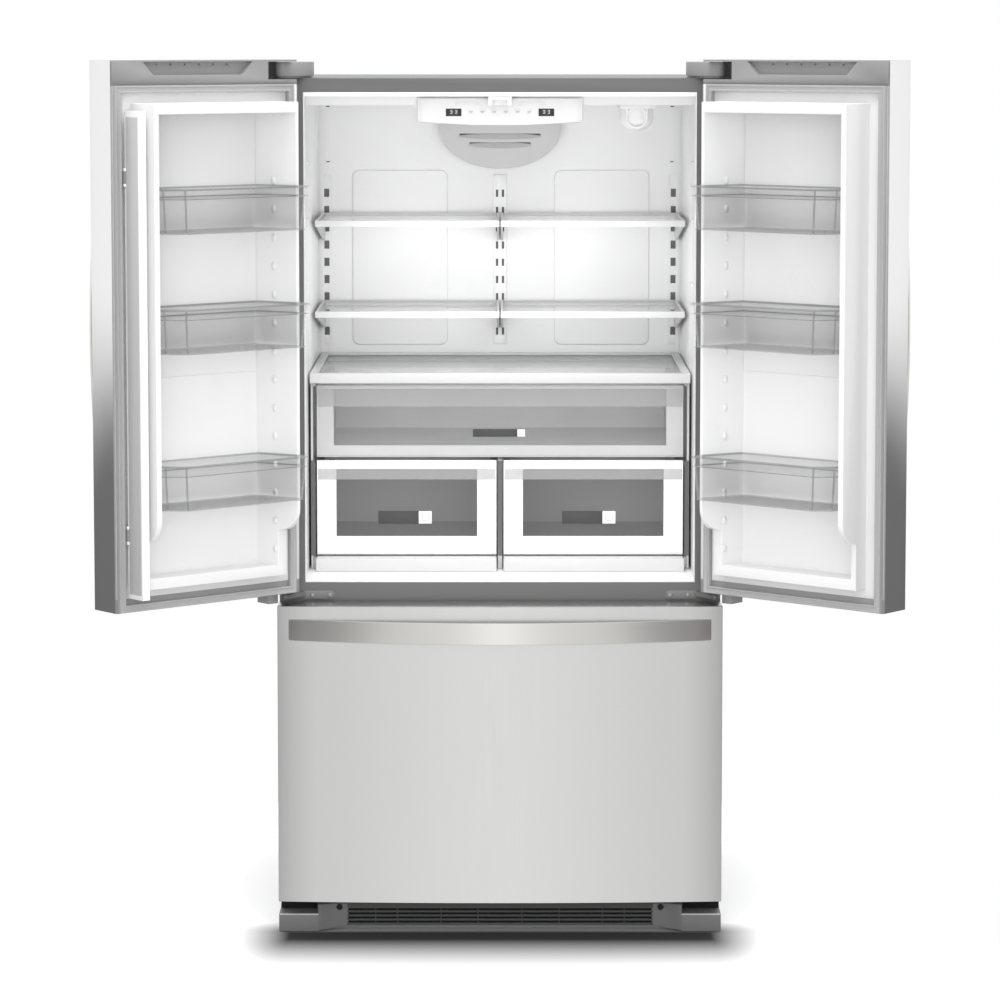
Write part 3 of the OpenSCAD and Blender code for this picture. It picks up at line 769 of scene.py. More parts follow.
@dataclass
class Doors(SubAssembly):
    """Both doors, modelled once in the closed left door's own axes and set in place twice.

    In those axes x runs from the hinge edge, y from the outer face inwards and z up.
    """

    pivot_from_edge: float = 14 * MM
    pivot_from_face: float = 45 * MM
    boss_pitch: float = 57 * MM
    bin_floors: tuple[float, ...] = (0.905, 1.211, 1.445)
    bin_height: float = 88 * MM
    bin_front: float = 191.0
    low_bin_front: float = 188.0

    def matrix(self, side: Side) -> Matrix:
        """From the door's own axes to the frame, standing open."""
        joint = next(j for j in Factory.frame["joints"] if j["name"] == "door_left_swing")
        pivot = Vector((joint["pos_m"][0], joint["pos_m"][1], 0))
        turn = Matrix.Rotation(math.radians(joint["range_deg"][0]), 4, "Z")
        own = Matrix.Translation((-self.pivot_from_edge, -self.pivot_from_face, 0))
        left = Matrix.Translation(pivot) @ turn @ own
        return left if side is Side.LEFT else MIRROR @ left

    def own_copy(self, part: str) -> bpy.types.Object:
        """A copy of a left door node, moved to the door's own axes."""
        made = Bench.copy_of(f"door_left_{part}", f"door_{part}")
        made.data.transform(self.matrix(Side.LEFT).inverted())
        return made

    def install(
        self, made: bpy.types.Object, finish: Finish, part: str = "", name: str = ""
    ) -> None:
        """Sets a piece made in the door's own axes on both doors."""
        for side in Side:
            label = name or f"{part}_moulding"
            copy = Bench.twin(made, f"door_{side.value}_{label}")
            Bench.moved(copy, self.matrix(side))
            nodes = [f"door_{side.value}_{part}"] if part else []
            finish_piece(copy, finish, f"door_{side.value}", nodes)
        bpy.data.objects.remove(made)

    def skin(self) -> None:
        """The folded stainless skin."""
        made = self.own_copy("skin")
        Bench.rounded(made, 2.5 * MM, 3)
        self.install(made, Finishes.STAINLESS, "skin")
        for side in Side:
            skin = bpy.data.objects[f"door_{side.value}_skin_moulding"]
            edge = (self.matrix(side).to_3x3() @ Vector(ACROSS)).normalized()
            Bench.repaint(skin, Finishes.EDGE_STEEL, lambda c, n: abs(n.dot(edge)) > 0.9)

    def caps(self) -> None:
        """The grey end caps, with a row of vent holes in the top one's recess."""
        made = self.own_copy("caps")
        for index in range(6):
            place = (0.165 + index * 0.034, 0.063, 1.7725)
            Bench.cut(made, Bench.disc("hole", place, 2.2 * MM, 6 * MM, 1, 16))
        Bench.rounded(made, 1.2 * MM, 2)
        self.install(made, Finishes.CAP, "caps")

    def liner(self) -> None:
        """The moulded inner liner, with its bin bosses and a step across the recess."""
        made = self.own_copy("liner")
        Bench.rounded(made, 3.5 * MM, 3)
        parts = [made]
        low, high = 0.80, 1.64
        count = int((high - low) / self.boss_pitch)
        for index in range(count):
            height = low + index * self.boss_pitch
            bpy.ops.mesh.primitive_uv_sphere_add(
                segments=16, ring_count=10, radius=6 * MM, location=(0.0825, 0.105, height),
                scale=(0.55, 1, 1.35),
            )
            boss = Bench.named("boss")
            Bench.smooth(boss, 80)
            parts.append(boss)
        step = Bench.block("step", (0.096, 0.0585, 1.157), (0.3935, 0.0635, 1.6755))
        Bench.rounded(step, 2 * MM, 3)
        parts.append(step)
        made = Bench.join("door_liner", parts)
        # Painted shade: the door liners get the darker copy of the liner white.
        self.install(made, Finishes.DOOR_LINER, "liner")

    def gasket(self) -> None:
        """The magnetic seal: a ribbed ring with a bellows groove."""
        made = self.own_copy("gasket")
        front = max(v.co.y for v in made.data.vertices)
        Bench.pick(made, "FACE", lambda c, n: n.y > 0.9 and c.y > front - 1e-4)
        bpy.ops.mesh.inset(thickness=3.2 * MM, depth=0)
        bpy.ops.mesh.inset(thickness=0.8 * MM, depth=-1.8 * MM)
        Bench.done()
        Bench.rounded(made, 0.8 * MM, 2)
        self.install(made, Finishes.SEAL, "gasket")

    def handle(self) -> None:
        """The bowed band handle."""
        made = self.own_copy("handle")
        Bench.rounded(made, 1.6 * MM, 3, 45)
        self.install(made, Finishes.HANDLE, "handle")

    def bins(self) -> None:
        """The lift-off bins: tapered walls, and a darker line round the rim, bead and floor,
        painted as the shade that thick clear edges show.
        """
        made = self.own_copy("bins")
        for floor in self.bin_floors:
            Bench.pick(made, "VERT", lambda c, n: floor - 1e-3 < c.z < floor + 4 * MM)
            bpy.ops.transform.resize(value=(0.955, 0.96, 1), center_override=(0.225, 0.075, floor))
            Bench.done()
        trims = []
        for floor in self.bin_floors:
            top = floor + self.bin_height
            for low, high, grow in (
                (top - 3 * MM, top - 0.1 * MM, 0.9 * MM),
                (top - 21 * MM, top - 19.6 * MM, 0.4 * MM),
                (floor + 0.1 * MM, floor + 2.4 * MM, 0.3 * MM),
            ):
                trims.append(Bench.slice(made, "trim", low, high, grow))
            front = self.low_bin_front if floor == self.bin_floors[0] else self.bin_front
            # Painted shade: dark upright strips down the bins' corners, where clear plastic looks
            # dark edge-on.
            for u, v in ((66, front - 2.5), (356, front - 2.5), (388, 160)):
                crease = Bench.block(
                    "crease",
                    ((u - 1.4) * MM, (v - 1.4) * MM, floor + 2 * MM),
                    ((u + 1.4) * MM, (v + 1.4) * MM, floor + self.bin_height - 3 * MM),
                )
                Bench.pick(crease, "VERT", lambda c, n: c.z < floor + 5 * MM)
                bpy.ops.transform.translate(
                    value=((0.225 - u * MM) * 0.045, (0.075 - v * MM) * 0.04, 0)
                )
                Bench.done()
                trims.append(crease)
        rims = Bench.join("bin_edge_shade", trims)
        Bench.rounded(rims, 0.3 * MM, 1)
        Bench.rounded(made, 0.9 * MM, 2)
        self.install(made, Finishes.CLEAR, "bins")
        self.install(rims, Finishes.RIM, name="bin_edge_shade")

    def edge_trims(self) -> None:
        """The grey lips that close the joint between skin and liner along both edges."""
        lips = [
            Bench.block("lip", (low * MM, 71.7 * MM, 0.7275), (high * MM, 75.9 * MM, 1.7315))
            for low, high in ((0.2, 1.7), (447.3, 448.8))
        ]
        for lip in lips:
            Bench.rounded(lip, 0.4 * MM, 2)
        self.install(Bench.join("edge_trims", lips), Finishes.FLANGE, name="edge_trims")

    def foam(self) -> None:
        """The hidden foam keeps its shape."""
        for side in Side:
            self.dress(f"door_{side.value}_foam", Finishes.FOAM)

    def mullion(self) -> None:
        """The folding mullion: white bar, a grey steel strip on its outer face, and its hinges."""
        to_own = self.matrix(Side.LEFT).inverted()
        bar = Bench.copy_of("mullion_bar", "mullion_bar_moulding")
        bar.data.transform(to_own)
        low = Vector(min(v.co[i] for v in bar.data.vertices) for i in range(3))
        high = Vector(max(v.co[i] for v in bar.data.vertices) for i in range(3))
        Bench.rounded(bar, 1.5 * MM, 3)
        Bench.moved(bar, self.matrix(Side.LEFT))
        finish_piece(bar, Finishes.LINER, "mullion", ["mullion_bar"])
        face = 0.4295
        strip = Bench.block(
            "mullion_strip",
            (face - 1.0 * MM, 0.0955, low.z + 9 * MM),
            (face + 0.5 * MM, high.y - 3.5 * MM, high.z - 12 * MM),
        )
        Bench.rounded(strip, 0.4 * MM, 2)
        Bench.moved(strip, self.matrix(Side.LEFT))
        finish_piece(strip, Finishes.STRIP, "mullion")
        hinges = Bench.copy_of("mullion_hinges", "mullion_hinges_moulding")
        Bench.rounded(hinges, 0.5 * MM, 2)
        finish_piece(hinges, Finishes.CAP, "door_left", ["mullion_hinges"])

    def build(self) -> None:
        """Makes everything on the doors."""
        self.skin()
        self.caps()
        self.liner()
        self.gasket()
        self.handle()
        self.bins()
        self.edge_trims()
        self.foam()
        self.mullion()


# ------------------------------------------------------------------ cabinet


@dataclass
class Cabinet(SubAssembly):
    """Case, frame, liners, hinges and base."""

    inner_half: float = 398.0
    back: float = 700.0
    corner_radius: float = 22.0
    cover_half: float = 372.0
    grille_half: float = 313.0

    def shell(self) -> None:
        """Case, back, front frame and insulation."""
        self.soften("outer_case", Finishes.CASE, 0.5 * MM)
        self.soften("front_frame", Finishes.FRAME, 0.4 * MM)
        self.soften("machine_cover", Finishes.ZINC, 0.4 * MM)
        self.dress("cabinet_foam", Finishes.FOAM)
        panel = Bench.copy_of("rear_panel", "rear_panel_moulding")
        Bench.pick(panel, "FACE", lambda c, n: n.y > 0.9)
        bpy.ops.mesh.inset(thickness=55 * MM, depth=0)
        bpy.ops.mesh.inset(thickness=5 * MM, depth=-0.5 * MM)
        bpy.ops.mesh.inset(thickness=60 * MM, depth=0)
        bpy.ops.mesh.inset(thickness=5 * MM, depth=0.4 * MM)
        Bench.done()
        Bench.smooth(panel, 20)
        finish_piece(panel, Finishes.ZINC, "cabinet", ["rear_panel"])

    def fresh_liner(self) -> None:
        """The white fresh compartment: soft corners, relief on its back wall, ribs at its sides."""
        made = Bench.copy_of("fresh_liner", "fresh_liner_moulding")
        Bench.rounded(made, 0.7 * MM, 2)
        parts = [made]
        for x in ((-325, -115), (119, 328)):
            panel = Bench.slab("panel", x, (self.back - 4.5, self.back + 0.5), (1150, 1535))
            Bench.pick(panel, "EDGE", lambda c, n: abs(n.y) > 0.9)
            bpy.ops.mesh.bevel(offset=16 * MM, segments=6)
            Bench.done()
            parts.append(Bench.rounded(panel, 2.5 * MM, 4))
        cove = self.corner_radius
        for sign in SIGNS:
            edge = sign * self.inner_half
            inner = sign * (self.inner_half - cove)
            corner = Bench.slab("cove", (edge, inner), (self.back - cove, self.back), (723, 1686.8))
            rod = Bench.disc("rod", spot(inner, self.back - cove, 1200), cove * MM, 1.2, 2, 48)
            parts.append(Bench.smooth(Bench.cut(corner, rod)))
            for height in (1317, 1448, 1567):
                parts.append(
                    Bench.slab(
                        "rib", (edge, edge - sign * 4), (166, 222), (height - 4, height + 4), 1.8, 3
                    )
                )
        # The deck gets the darker copy of the liner white as painted shade.
        deck = Bench.pair("deck", (7, 381.5), (158, 640), (722, 750.5), 3, 3)
        self.add("crisper_deck", deck, Finishes.RIM_SHADED_WHITE)
        self.add("fresh_liner_moulding", parts, Finishes.LINER, ["fresh_liner"])
        recess = (self.back - 0.8, self.back)
        # Painted shade: thin dark slabs at the back corners stand in for the shade inside the
        # corner slots.
        slots = [
            Bench.slab("slot", (sign * 374, sign * 392), recess, (z, z + 2.6), 0.3)
            for sign in SIGNS
            for z in (1552, 1673)
        ]
        self.add("corner_slots", slots, Finishes.SLOT_SHADE)

    def freezer_space(self) -> None:
        """The freezer liner, its cover and rails."""
        self.soften("freezer_liner", Finishes.LINER, 0.8 * MM)
        self.soften("evaporator_cover", Finishes.LINER, 1.0 * MM)
        self.soften("freezer_rails", Finishes.ZINC, 0.6 * MM)
        self.dress("evaporator_coil", Finishes.COIL)

    def hinges(self) -> None:
        """Hinge plates, screws and covers."""
        self.soften("hinge_brackets", Finishes.HINGE, 0.7 * MM)
        self.soften("hinge_screws", Finishes.ZINC, 0.6 * MM)
        self.soften("hinge_covers", Finishes.CAP, 3 * MM, 3)

    def fairing(self, sign: int) -> bpy.types.Object:
        """The swept web between one leg cover and the grille.

        Args:
            sign: -1 for the left and 1 for the right.

        Returns:
            A curved plate that sinks back and rises towards the grille.
        """
        outer, inner, steps = self.cover_half, self.grille_half, 9
        plate = Bench.slab("fairing", (inner, outer), (16, 26), (3, 57))
        for index in range(1, steps):
            place = (inner + (outer - inner) * index / steps) * MM
            Bench.split(plate, (place, 0, 0), ACROSS)
        for index in range(steps + 1):
            share = index / steps
            place = (inner + (outer - inner) * share) * MM
            near = 0.3 * MM
            Bench.pick(plate, "VERT", lambda c, n: abs(c.x - place) < near and c.z < 20 * MM)
            bpy.ops.transform.translate(value=(0, 0, 9 * MM * (1 - share) ** 1.6))
            Bench.done()
            Bench.pick(
                plate, "VERT", lambda c, n: abs(c.x - place) < near and c.y < spot(0, 20, 0)[1]
            )
            bpy.ops.transform.translate(value=(0, (3 - 12 * share**2.2) * MM, 0))
            Bench.done()
        Bench.rounded(plate, 1.2 * MM, 3, 50)
        return plate if sign > 0 else Bench.moved(plate, MIRROR)

    def base(self) -> None:
        """Grille, legs, tray and what sits on it."""
        grille = Bench.copy_of("toe_grille", "toe_grille_moulding")
        Bench.rounded(grille, 0.8 * MM, 3)
        finish_piece(grille, Finishes.GRILLE, "cabinet", ["toe_grille"])
        # Painted shade: the grille's faces that don't face up get a darker copy of its grey, so
        # only its upward faces keep the lighter grey.
        bar_half = self.grille_half * MM
        Bench.repaint(grille, Finishes.GRILLE_SHADED, lambda c, n: abs(c.x) < bar_half and n.z < 0.4)
        self.add("toe_fairings", [self.fairing(sign) for sign in SIGNS], Finishes.GRILLE)
        # Painted highlight: light grey strips along the leg covers' top edges, standing in for the
        # light those edges catch.
        edges = Bench.pair("edge", (371, 451.5), (7.6, 10.5), (35.2, 37.6), 0.6, 2)
        self.add("toe_edge_highlights", edges, Finishes.STRIP)
        # Painted shade: near-black plates in the recesses above the leg covers and behind the
        # grille's slots, where there is only shade.
        recess = Bench.pair("recess", (330, 451), (57, 59.5), (38, 57), 0.2, 1)
        self.add("toe_recess_shade", recess, Finishes.DARK)
        backing = Bench.slab("toe_backing_shade", (-312, 312), (26, 28), (13, 57), 0.3)
        self.add("toe_backing_shade", [backing], Finishes.DARK)
        screws = [
            Bench.disc("screw", spot(sign * 329, 15.5, 50), 6 * MM, 4 * MM, 1, 32) for sign in SIGNS
        ]
        screws = Bench.rounded(Bench.join("toe_screws", screws), 1.2 * MM, 3)
        finish_piece(screws, Finishes.DARK, "cabinet")
        self.soften("leveling_legs", Finishes.ZINC, 0.8 * MM)
        self.soften("base_tray", Finishes.ZINC, 0.4 * MM)
        self.soften("compressor", Finishes.ENAMEL, 3 * MM, 3)
        self.soften("condenser_coil", Finishes.COPPER, 0.4 * MM)
        self.soften("fan_motors", Finishes.ZINC, 1 * MM)

    def build(self) -> None:
        """Makes everything fixed on the cabinet's shell."""
        self.shell()
        self.fresh_liner()
        self.freezer_space()
        self.hinges()
        self.base()


@dataclass
class Interior(SubAssembly):
    """Shelves, covers, housings and controls inside the fresh compartment."""

    housing_half: float = 171.0
    housing_front: float = 163.0
    pad_pitch: float = 24.0
    slot_low: float = 1172.0
    slot_pitch: float = 38.0
    slot_count: int = 9
    cover_top: float = 1.16
    tower_front: float = 648.0
    filter_at: tuple[float, float] = (288.0, 400.0)

    def shelves(self) -> None:
        """Ladders with their slots shown by dark plates painted as shade, shelf rims and glass."""
        self.soften("shelf_ladders", Finishes.LINER, 0.6 * MM)
        # Painted shade: dark plates behind and in the ladders' slots stand in for the shade inside
        # them.
        backing = [
            Bench.slab("slots", x, (699.4, 700.1), (1168, 1496.5), 0.1, 1)
            for x in ((-387, -374), (-9.5, -3.5), (3.5, 9.5), (374, 387))
        ]
        for index in range(self.slot_count):
            level = self.slot_low + index * self.slot_pitch
            z = (level, level + 18)
            backing += Bench.pair("slot", (375.5, 386.5), (695.7, 696.6), z, 0.2, 1)
        self.add("ladder_slots", backing, Finishes.SLOT_SHADE)
        # Shelf frames and the crisper frame get the darker copy of the liner white as painted
        # shade.
        self.soften("shelf_frames", Finishes.RIM_SHADED_WHITE, 1.4 * MM, 3)
        self.glass()
        self.soften("crisper_frame", Finishes.RIM_SHADED_WHITE, 1.4 * MM, 3)

    def glass(self) -> None:
        """The shelves' glass, and the more milky glass over the crispers."""
        panes = (("shelf_panes", Finishes.GLASS, True), ("cover_glass", Finishes.PANE, False))
        for name, finish, above in panes:
            pane = Bench.copy_of("shelf_glass", name)
            level = (0, 0, self.cover_top)
            Bench.split(pane, level, UP, clear_inner=above, clear_outer=not above)
            Bench.rounded(pane, 0.5 * MM)
            finish_piece(pane, finish, "cabinet", ["shelf_glass"] if above else [])

    def dark_strips(self) -> None:
        """Dark strips painted as the shade in the gaps beside and between the crispers."""
        strips = [
            Bench.slab("gap", x, (198, 200.5), (751, 950), 0.2, 1)
            for x in ((-4.6, 4.6), (-393.1, -383.5), (383.5, 393.1))
        ]
        self.add("crisper_gap_shade", strips, Finishes.SLOT_SHADE)

    def housing(self) -> None:
        """The roof housing: a bowed lower edge, rounded ends and two low domes."""
        half, front, low = self.housing_half, self.housing_front, 1646
        made = Bench.copy_of("control_housing", "control_housing_moulding")
        for index in range(-7, 8):
            Bench.split(made, (index * 22 * MM, 0, 0), ACROSS)
        near, top = spot(0, front + 10, 0)[1], (low + 10) * MM
        for place in sorted({round(vert.co.x, 5) for vert in made.data.vertices}):
            Bench.pick(
                made, "VERT", lambda c, n: abs(c.x - place) < WELD / 2 and c.y < near and c.z < top
            )
            bpy.ops.transform.translate(value=(0, 0, 8 * MM * (place / (half * MM)) ** 2))
            Bench.done()
        face = spot(0, front + 1, 0)[1]

        def at_end(centre: Vector, along: Vector) -> bool:
            """Whether an edge is an upright one at a front end of the housing."""
            return abs(along.z) > 0.9 and abs(abs(centre.x) - half * MM) < 1e-4 and centre.y < face

        Bench.pick(made, "EDGE", at_end)
        bpy.ops.mesh.bevel(offset=14 * MM, segments=6)
        Bench.done()
        Bench.rounded(made, 2.2 * MM, 4, 40)
        parts = [made]
        for sign in SIGNS:
            dome = Bench.ball("dome", spot(sign * 66, front + 2, 1683), (32, 6, 18), (48, 24))
            Bench.split(dome, spot(0, 0, 1685), UP, use_fill=True, clear_inner=True)
            parts.append(Bench.rounded(dome, 0.8 * MM, 2, 50))
        reach = half - 8
        parts.append(
            Bench.slab("ledge", (-reach, reach), (front - 2, front + 4), (1696.5, 1700.5), 1.2, 3)
        )
        self.add("control_housing_moulding", parts, Finishes.LINER, ["control_housing"])

    def controls(self) -> None:
        """Two dark windows with plain digits, and six touch pads with plain marks."""
        front = self.housing_front
        lit, flush = (front - 1.3, front - 0.8), (front - 1.0, front - 0.6)
        windows, digits, pads, marks = [], [], [], []
        for sign in SIGNS:
            span = (sign * 79, sign * 111)
            windows.append(Bench.slab("window", span, (front - 1, front), (1664.5, 1680), 0.4, 2))
            for column in SIGNS:
                x = sign * 95 + column * 5
                bars = [((x - 2, x + 2), (level, level + 0.9)) for level in (1669.4, 1672.7, 1676)]
                bars.append(((x + 1.4, x + 2.2), (1669.4, 1676.8)))
                digits += [Bench.slab("digit", across, lit, z, 0.1, 1) for across, z in bars]
        for index in range(6):
            x = (index - 2.5) * self.pad_pitch
            pads.append(
                Bench.slab("pad", (x - 7, x + 7), (front - 0.8, front + 0.2), (1667, 1679), 0.35, 2)
            )
            for half, z in ((4, (1674, 1675.2)), (3, (1671, 1672))):
                marks.append(Bench.slab("mark", (x - half, x + half), flush, z, 0.1, 1))
        self.add("control_windows", windows, Finishes.DISPLAY, ["control_displays"])
        self.add("control_digits", digits, Finishes.LAMP)
        self.add("control_pads", pads, Finishes.LINER)
        self.add("control_marks", marks, Finishes.MARK)

    def tower(self) -> None:
        """The domed air outlet below the housing, with lens-shaped louvres."""
        made = Bench.copy_of("air_tower", "air_tower_moulding")
        Bench.rounded(made, 3.5 * MM, 4)
        # Painted shade: the tower gets the grey copy of the liner white.
        finish_piece(made, Finishes.TOWER_SHADE, "cabinet", ["air_tower"])
        lenses = []
        for half, level in ((94, 1610), (72, 1591)):
            centre = spot(0, self.tower_front + 0.6, level)
            lens = Bench.ball("lens", centre, (half, 2.4, 6.6), (96, 24))
            lenses.append(Bench.smooth(lens, ROUND_ANGLE))
        self.add("tower_louvres", lenses, Finishes.VENT_GREY)

    def filter(self) -> None:
        """The filter's cup under the roof, with a looped grip."""
        x, y = self.filter_at
        base = Bench.slab("filter_base", (250, 326), (301, 499), (1677, 1686.5), 3, 3)
        body = Bench.disc("cup", spot(x, y, 1667), 35.5 * MM, 24 * MM, 2, 64)
        bowl = Bench.ball("bowl", spot(x, y, 1655.5), (35.5, 35.5, 27), (64, 32))
        Bench.smooth(bowl, ROUND_ANGLE)
        grips = []
        for radius, thick in ((21, 3.4), (11, 2.6)):
            centre = spot(x, y - 31, 1657)
            grips.append(Bench.ring("grip", centre, radius * MM, thick * MM, (48, 14)))
            for sign in SIGNS:
                foot = spot(x + sign * radius, y - 31, 1669)
                leg = Bench.disc("leg", foot, thick * MM, 24 * MM, 2, 20)
                grips.append(Bench.smooth(leg, ROUND_ANGLE))
        Bench.rounded(body, 2 * MM, 3)
        self.add("filter_cup", [base, body, bowl, *grips], Finishes.LINER, ["filter_housing"])

    def build(self) -> None:
        """Makes everything inside the fresh compartment."""
        self.shelves()
        self.dark_strips()
        self.housing()
        self.controls()
        self.tower()
        self.filter()
        self.soften("lamp_lens", Finishes.LAMP, 0.8 * MM)
        self.soften("mullion_guide", Finishes.LINER, 1.5 * MM, 3)


@dataclass
class ClearDrawer(SubAssembly):
    """One see-through drawer: a frosted pan and bezel, a window, a grip band and a label plate."""

    front: float = 195.0
    plate: float = 6.2
    x: tuple[float, float] = (-380.0, -7.5)
    z: tuple[float, float] = (754.0, 951.0)
    window_x: tuple[float, float] = (-340.0, -47.5)
    window_z: tuple[float, float] = (792.0, 911.0)
    band_z: tuple[float, float] = (911.0, 933.0)
    label_x: tuple[float, float] = (-253.0, -142.0)
    label_z: tuple[float, float] = (818.0, 845.0)
    # The crispers' pans take the darker copy of the pan plastic, painted on as the shade inside
    # them.
    pan_finish: Finish = Finishes.PAN_SHADED
    bezel_finish: Finish = Finishes.BEZEL

    def build(self) -> None:
        """Makes the drawer."""
        name, front = self.body, self.front
        opening = (self.window_z[0], self.band_z[1])
        near, far = spot(0, front - 1, 0)[1], spot(0, front + self.plate, 0)[1]
        pan = Bench.copy_of(name, f"{name}_pan")
        Bench.cut(pan, Bench.slab("window", self.window_x, (front - 5, front + 8), opening))
        bezel = Bench.slice(pan, f"{name}_bezel", near, far, 0, 1)
        Bench.split(pan, (0, far, 0), BACK, use_fill=True, clear_inner=True)
        Bench.rounded(pan, 0.8 * MM, 2)
        finish_piece(pan, self.pan_finish, name, [name])
        Bench.rounded(bezel, 1.2 * MM, 3)
        finish_piece(bezel, self.bezel_finish, name)
        left, right = self.label_x
        low, high = self.label_z
        split = right - (high - low)
        wide, wider = ((self.x[0] + inset, self.x[1] - inset) for inset in (2, 1))
        # The trim is a dark line painted along the drawer's foot as shade.
        foot = (self.z[0] + 0.6, self.z[0] + 4)
        for part, finish, x, y, z, edge, segments in (
            ("window", Finishes.CLEAR, self.window_x, (2, 4.5), opening, 0.3, 1),
            ("band", Finishes.BAND, wide, (-1.8, -0.1), self.band_z, 0.6, 3),
            ("trim", Finishes.RIM, wider, (-1.2, 0.2), foot, 0.5, 2),
            ("label", Finishes.LABEL, (left, split), (0.6, 1.9), (low, high), 0.3, 2),
            ("icon", Finishes.LINER, (split, right), (0.8, 1.9), (low + 0.5, high - 0.5), 0.3, 2),
        ):
            made = Bench.slab(part, x, [front + v for v in y], z, edge, segments)
            self.add(f"{name}_{part}", [made], finish)
        centre = spot((split + right) / 2, front + 0.9, (low + high) / 2)
        ring = Bench.ring(f"{name}_ring", centre, (high - low) * 0.27 * MM, 0.5 * MM, (40, 8))
        finish_piece(ring, Finishes.MARK, name)


@dataclass
class FreezerDrawer(SubAssembly):
    """The pull-out freezer drawer and its basket."""

    body: str = "freezer_drawer"

    def build(self) -> None:
        """Makes the drawer."""
        self.soften("freezer_skin", Finishes.STAINLESS, 2.2 * MM, 4)
        self.dress("freezer_foam", Finishes.FOAM)
        self.soften("freezer_door_liner", Finishes.LINER, 3 * MM, 3)
        self.soften("freezer_gasket", Finishes.SEAL, 1 * MM)
        self.soften("freezer_handle", Finishes.HANDLE_WIDE, 1.6 * MM, 3)
        self.soften("freezer_runners", Finishes.ZINC, 1 * MM)
        self.soften("freezer_bin", Finishes.PAN, 1.2 * MM, 3)
        self.body = "freezer_basket"
        self.soften("freezer_basket", Finishes.LINER, 1.2 * MM, 2)


@dataclass
class Runners(SubAssembly):
    """Rollers and fans, which turn."""

    def build(self) -> None:
        """Makes the turning pieces."""
        for node in ("front_rollers", "rear_rollers", "condenser_fan", "evaporator_fan"):
            self.body = node
            self.soften(node, Finishes.FAN, 1.0 * MM)


def clear_drawers() -> list[ClearDrawer]:
    """The deli drawer and the two crispers."""
    left = ClearDrawer(body="crisper_left")
    right = ClearDrawer(
        body="crisper_right",
        x=(7.5, 380.0),
        window_x=(47.5, 340.0),
        label_x=(129.0, 240.0),
    )
    deli = ClearDrawer(
        body="deli_drawer",
        x=(-380.0, 380.0),
        z=(958.0, 1107.0),
        window_x=(-345.0, 345.0),
        window_z=(982.0, 1063.0),
        band_z=(1063.0, 1100.0),
        label_x=(-56.0, 52.0),
        label_z=(1000.0, 1016.0),
        pan_finish=Finishes.PAN,
        bezel_finish=Finishes.FROSTED,
    )
    return [left, right, deli]


# ------------------------------------------------------------------ studio


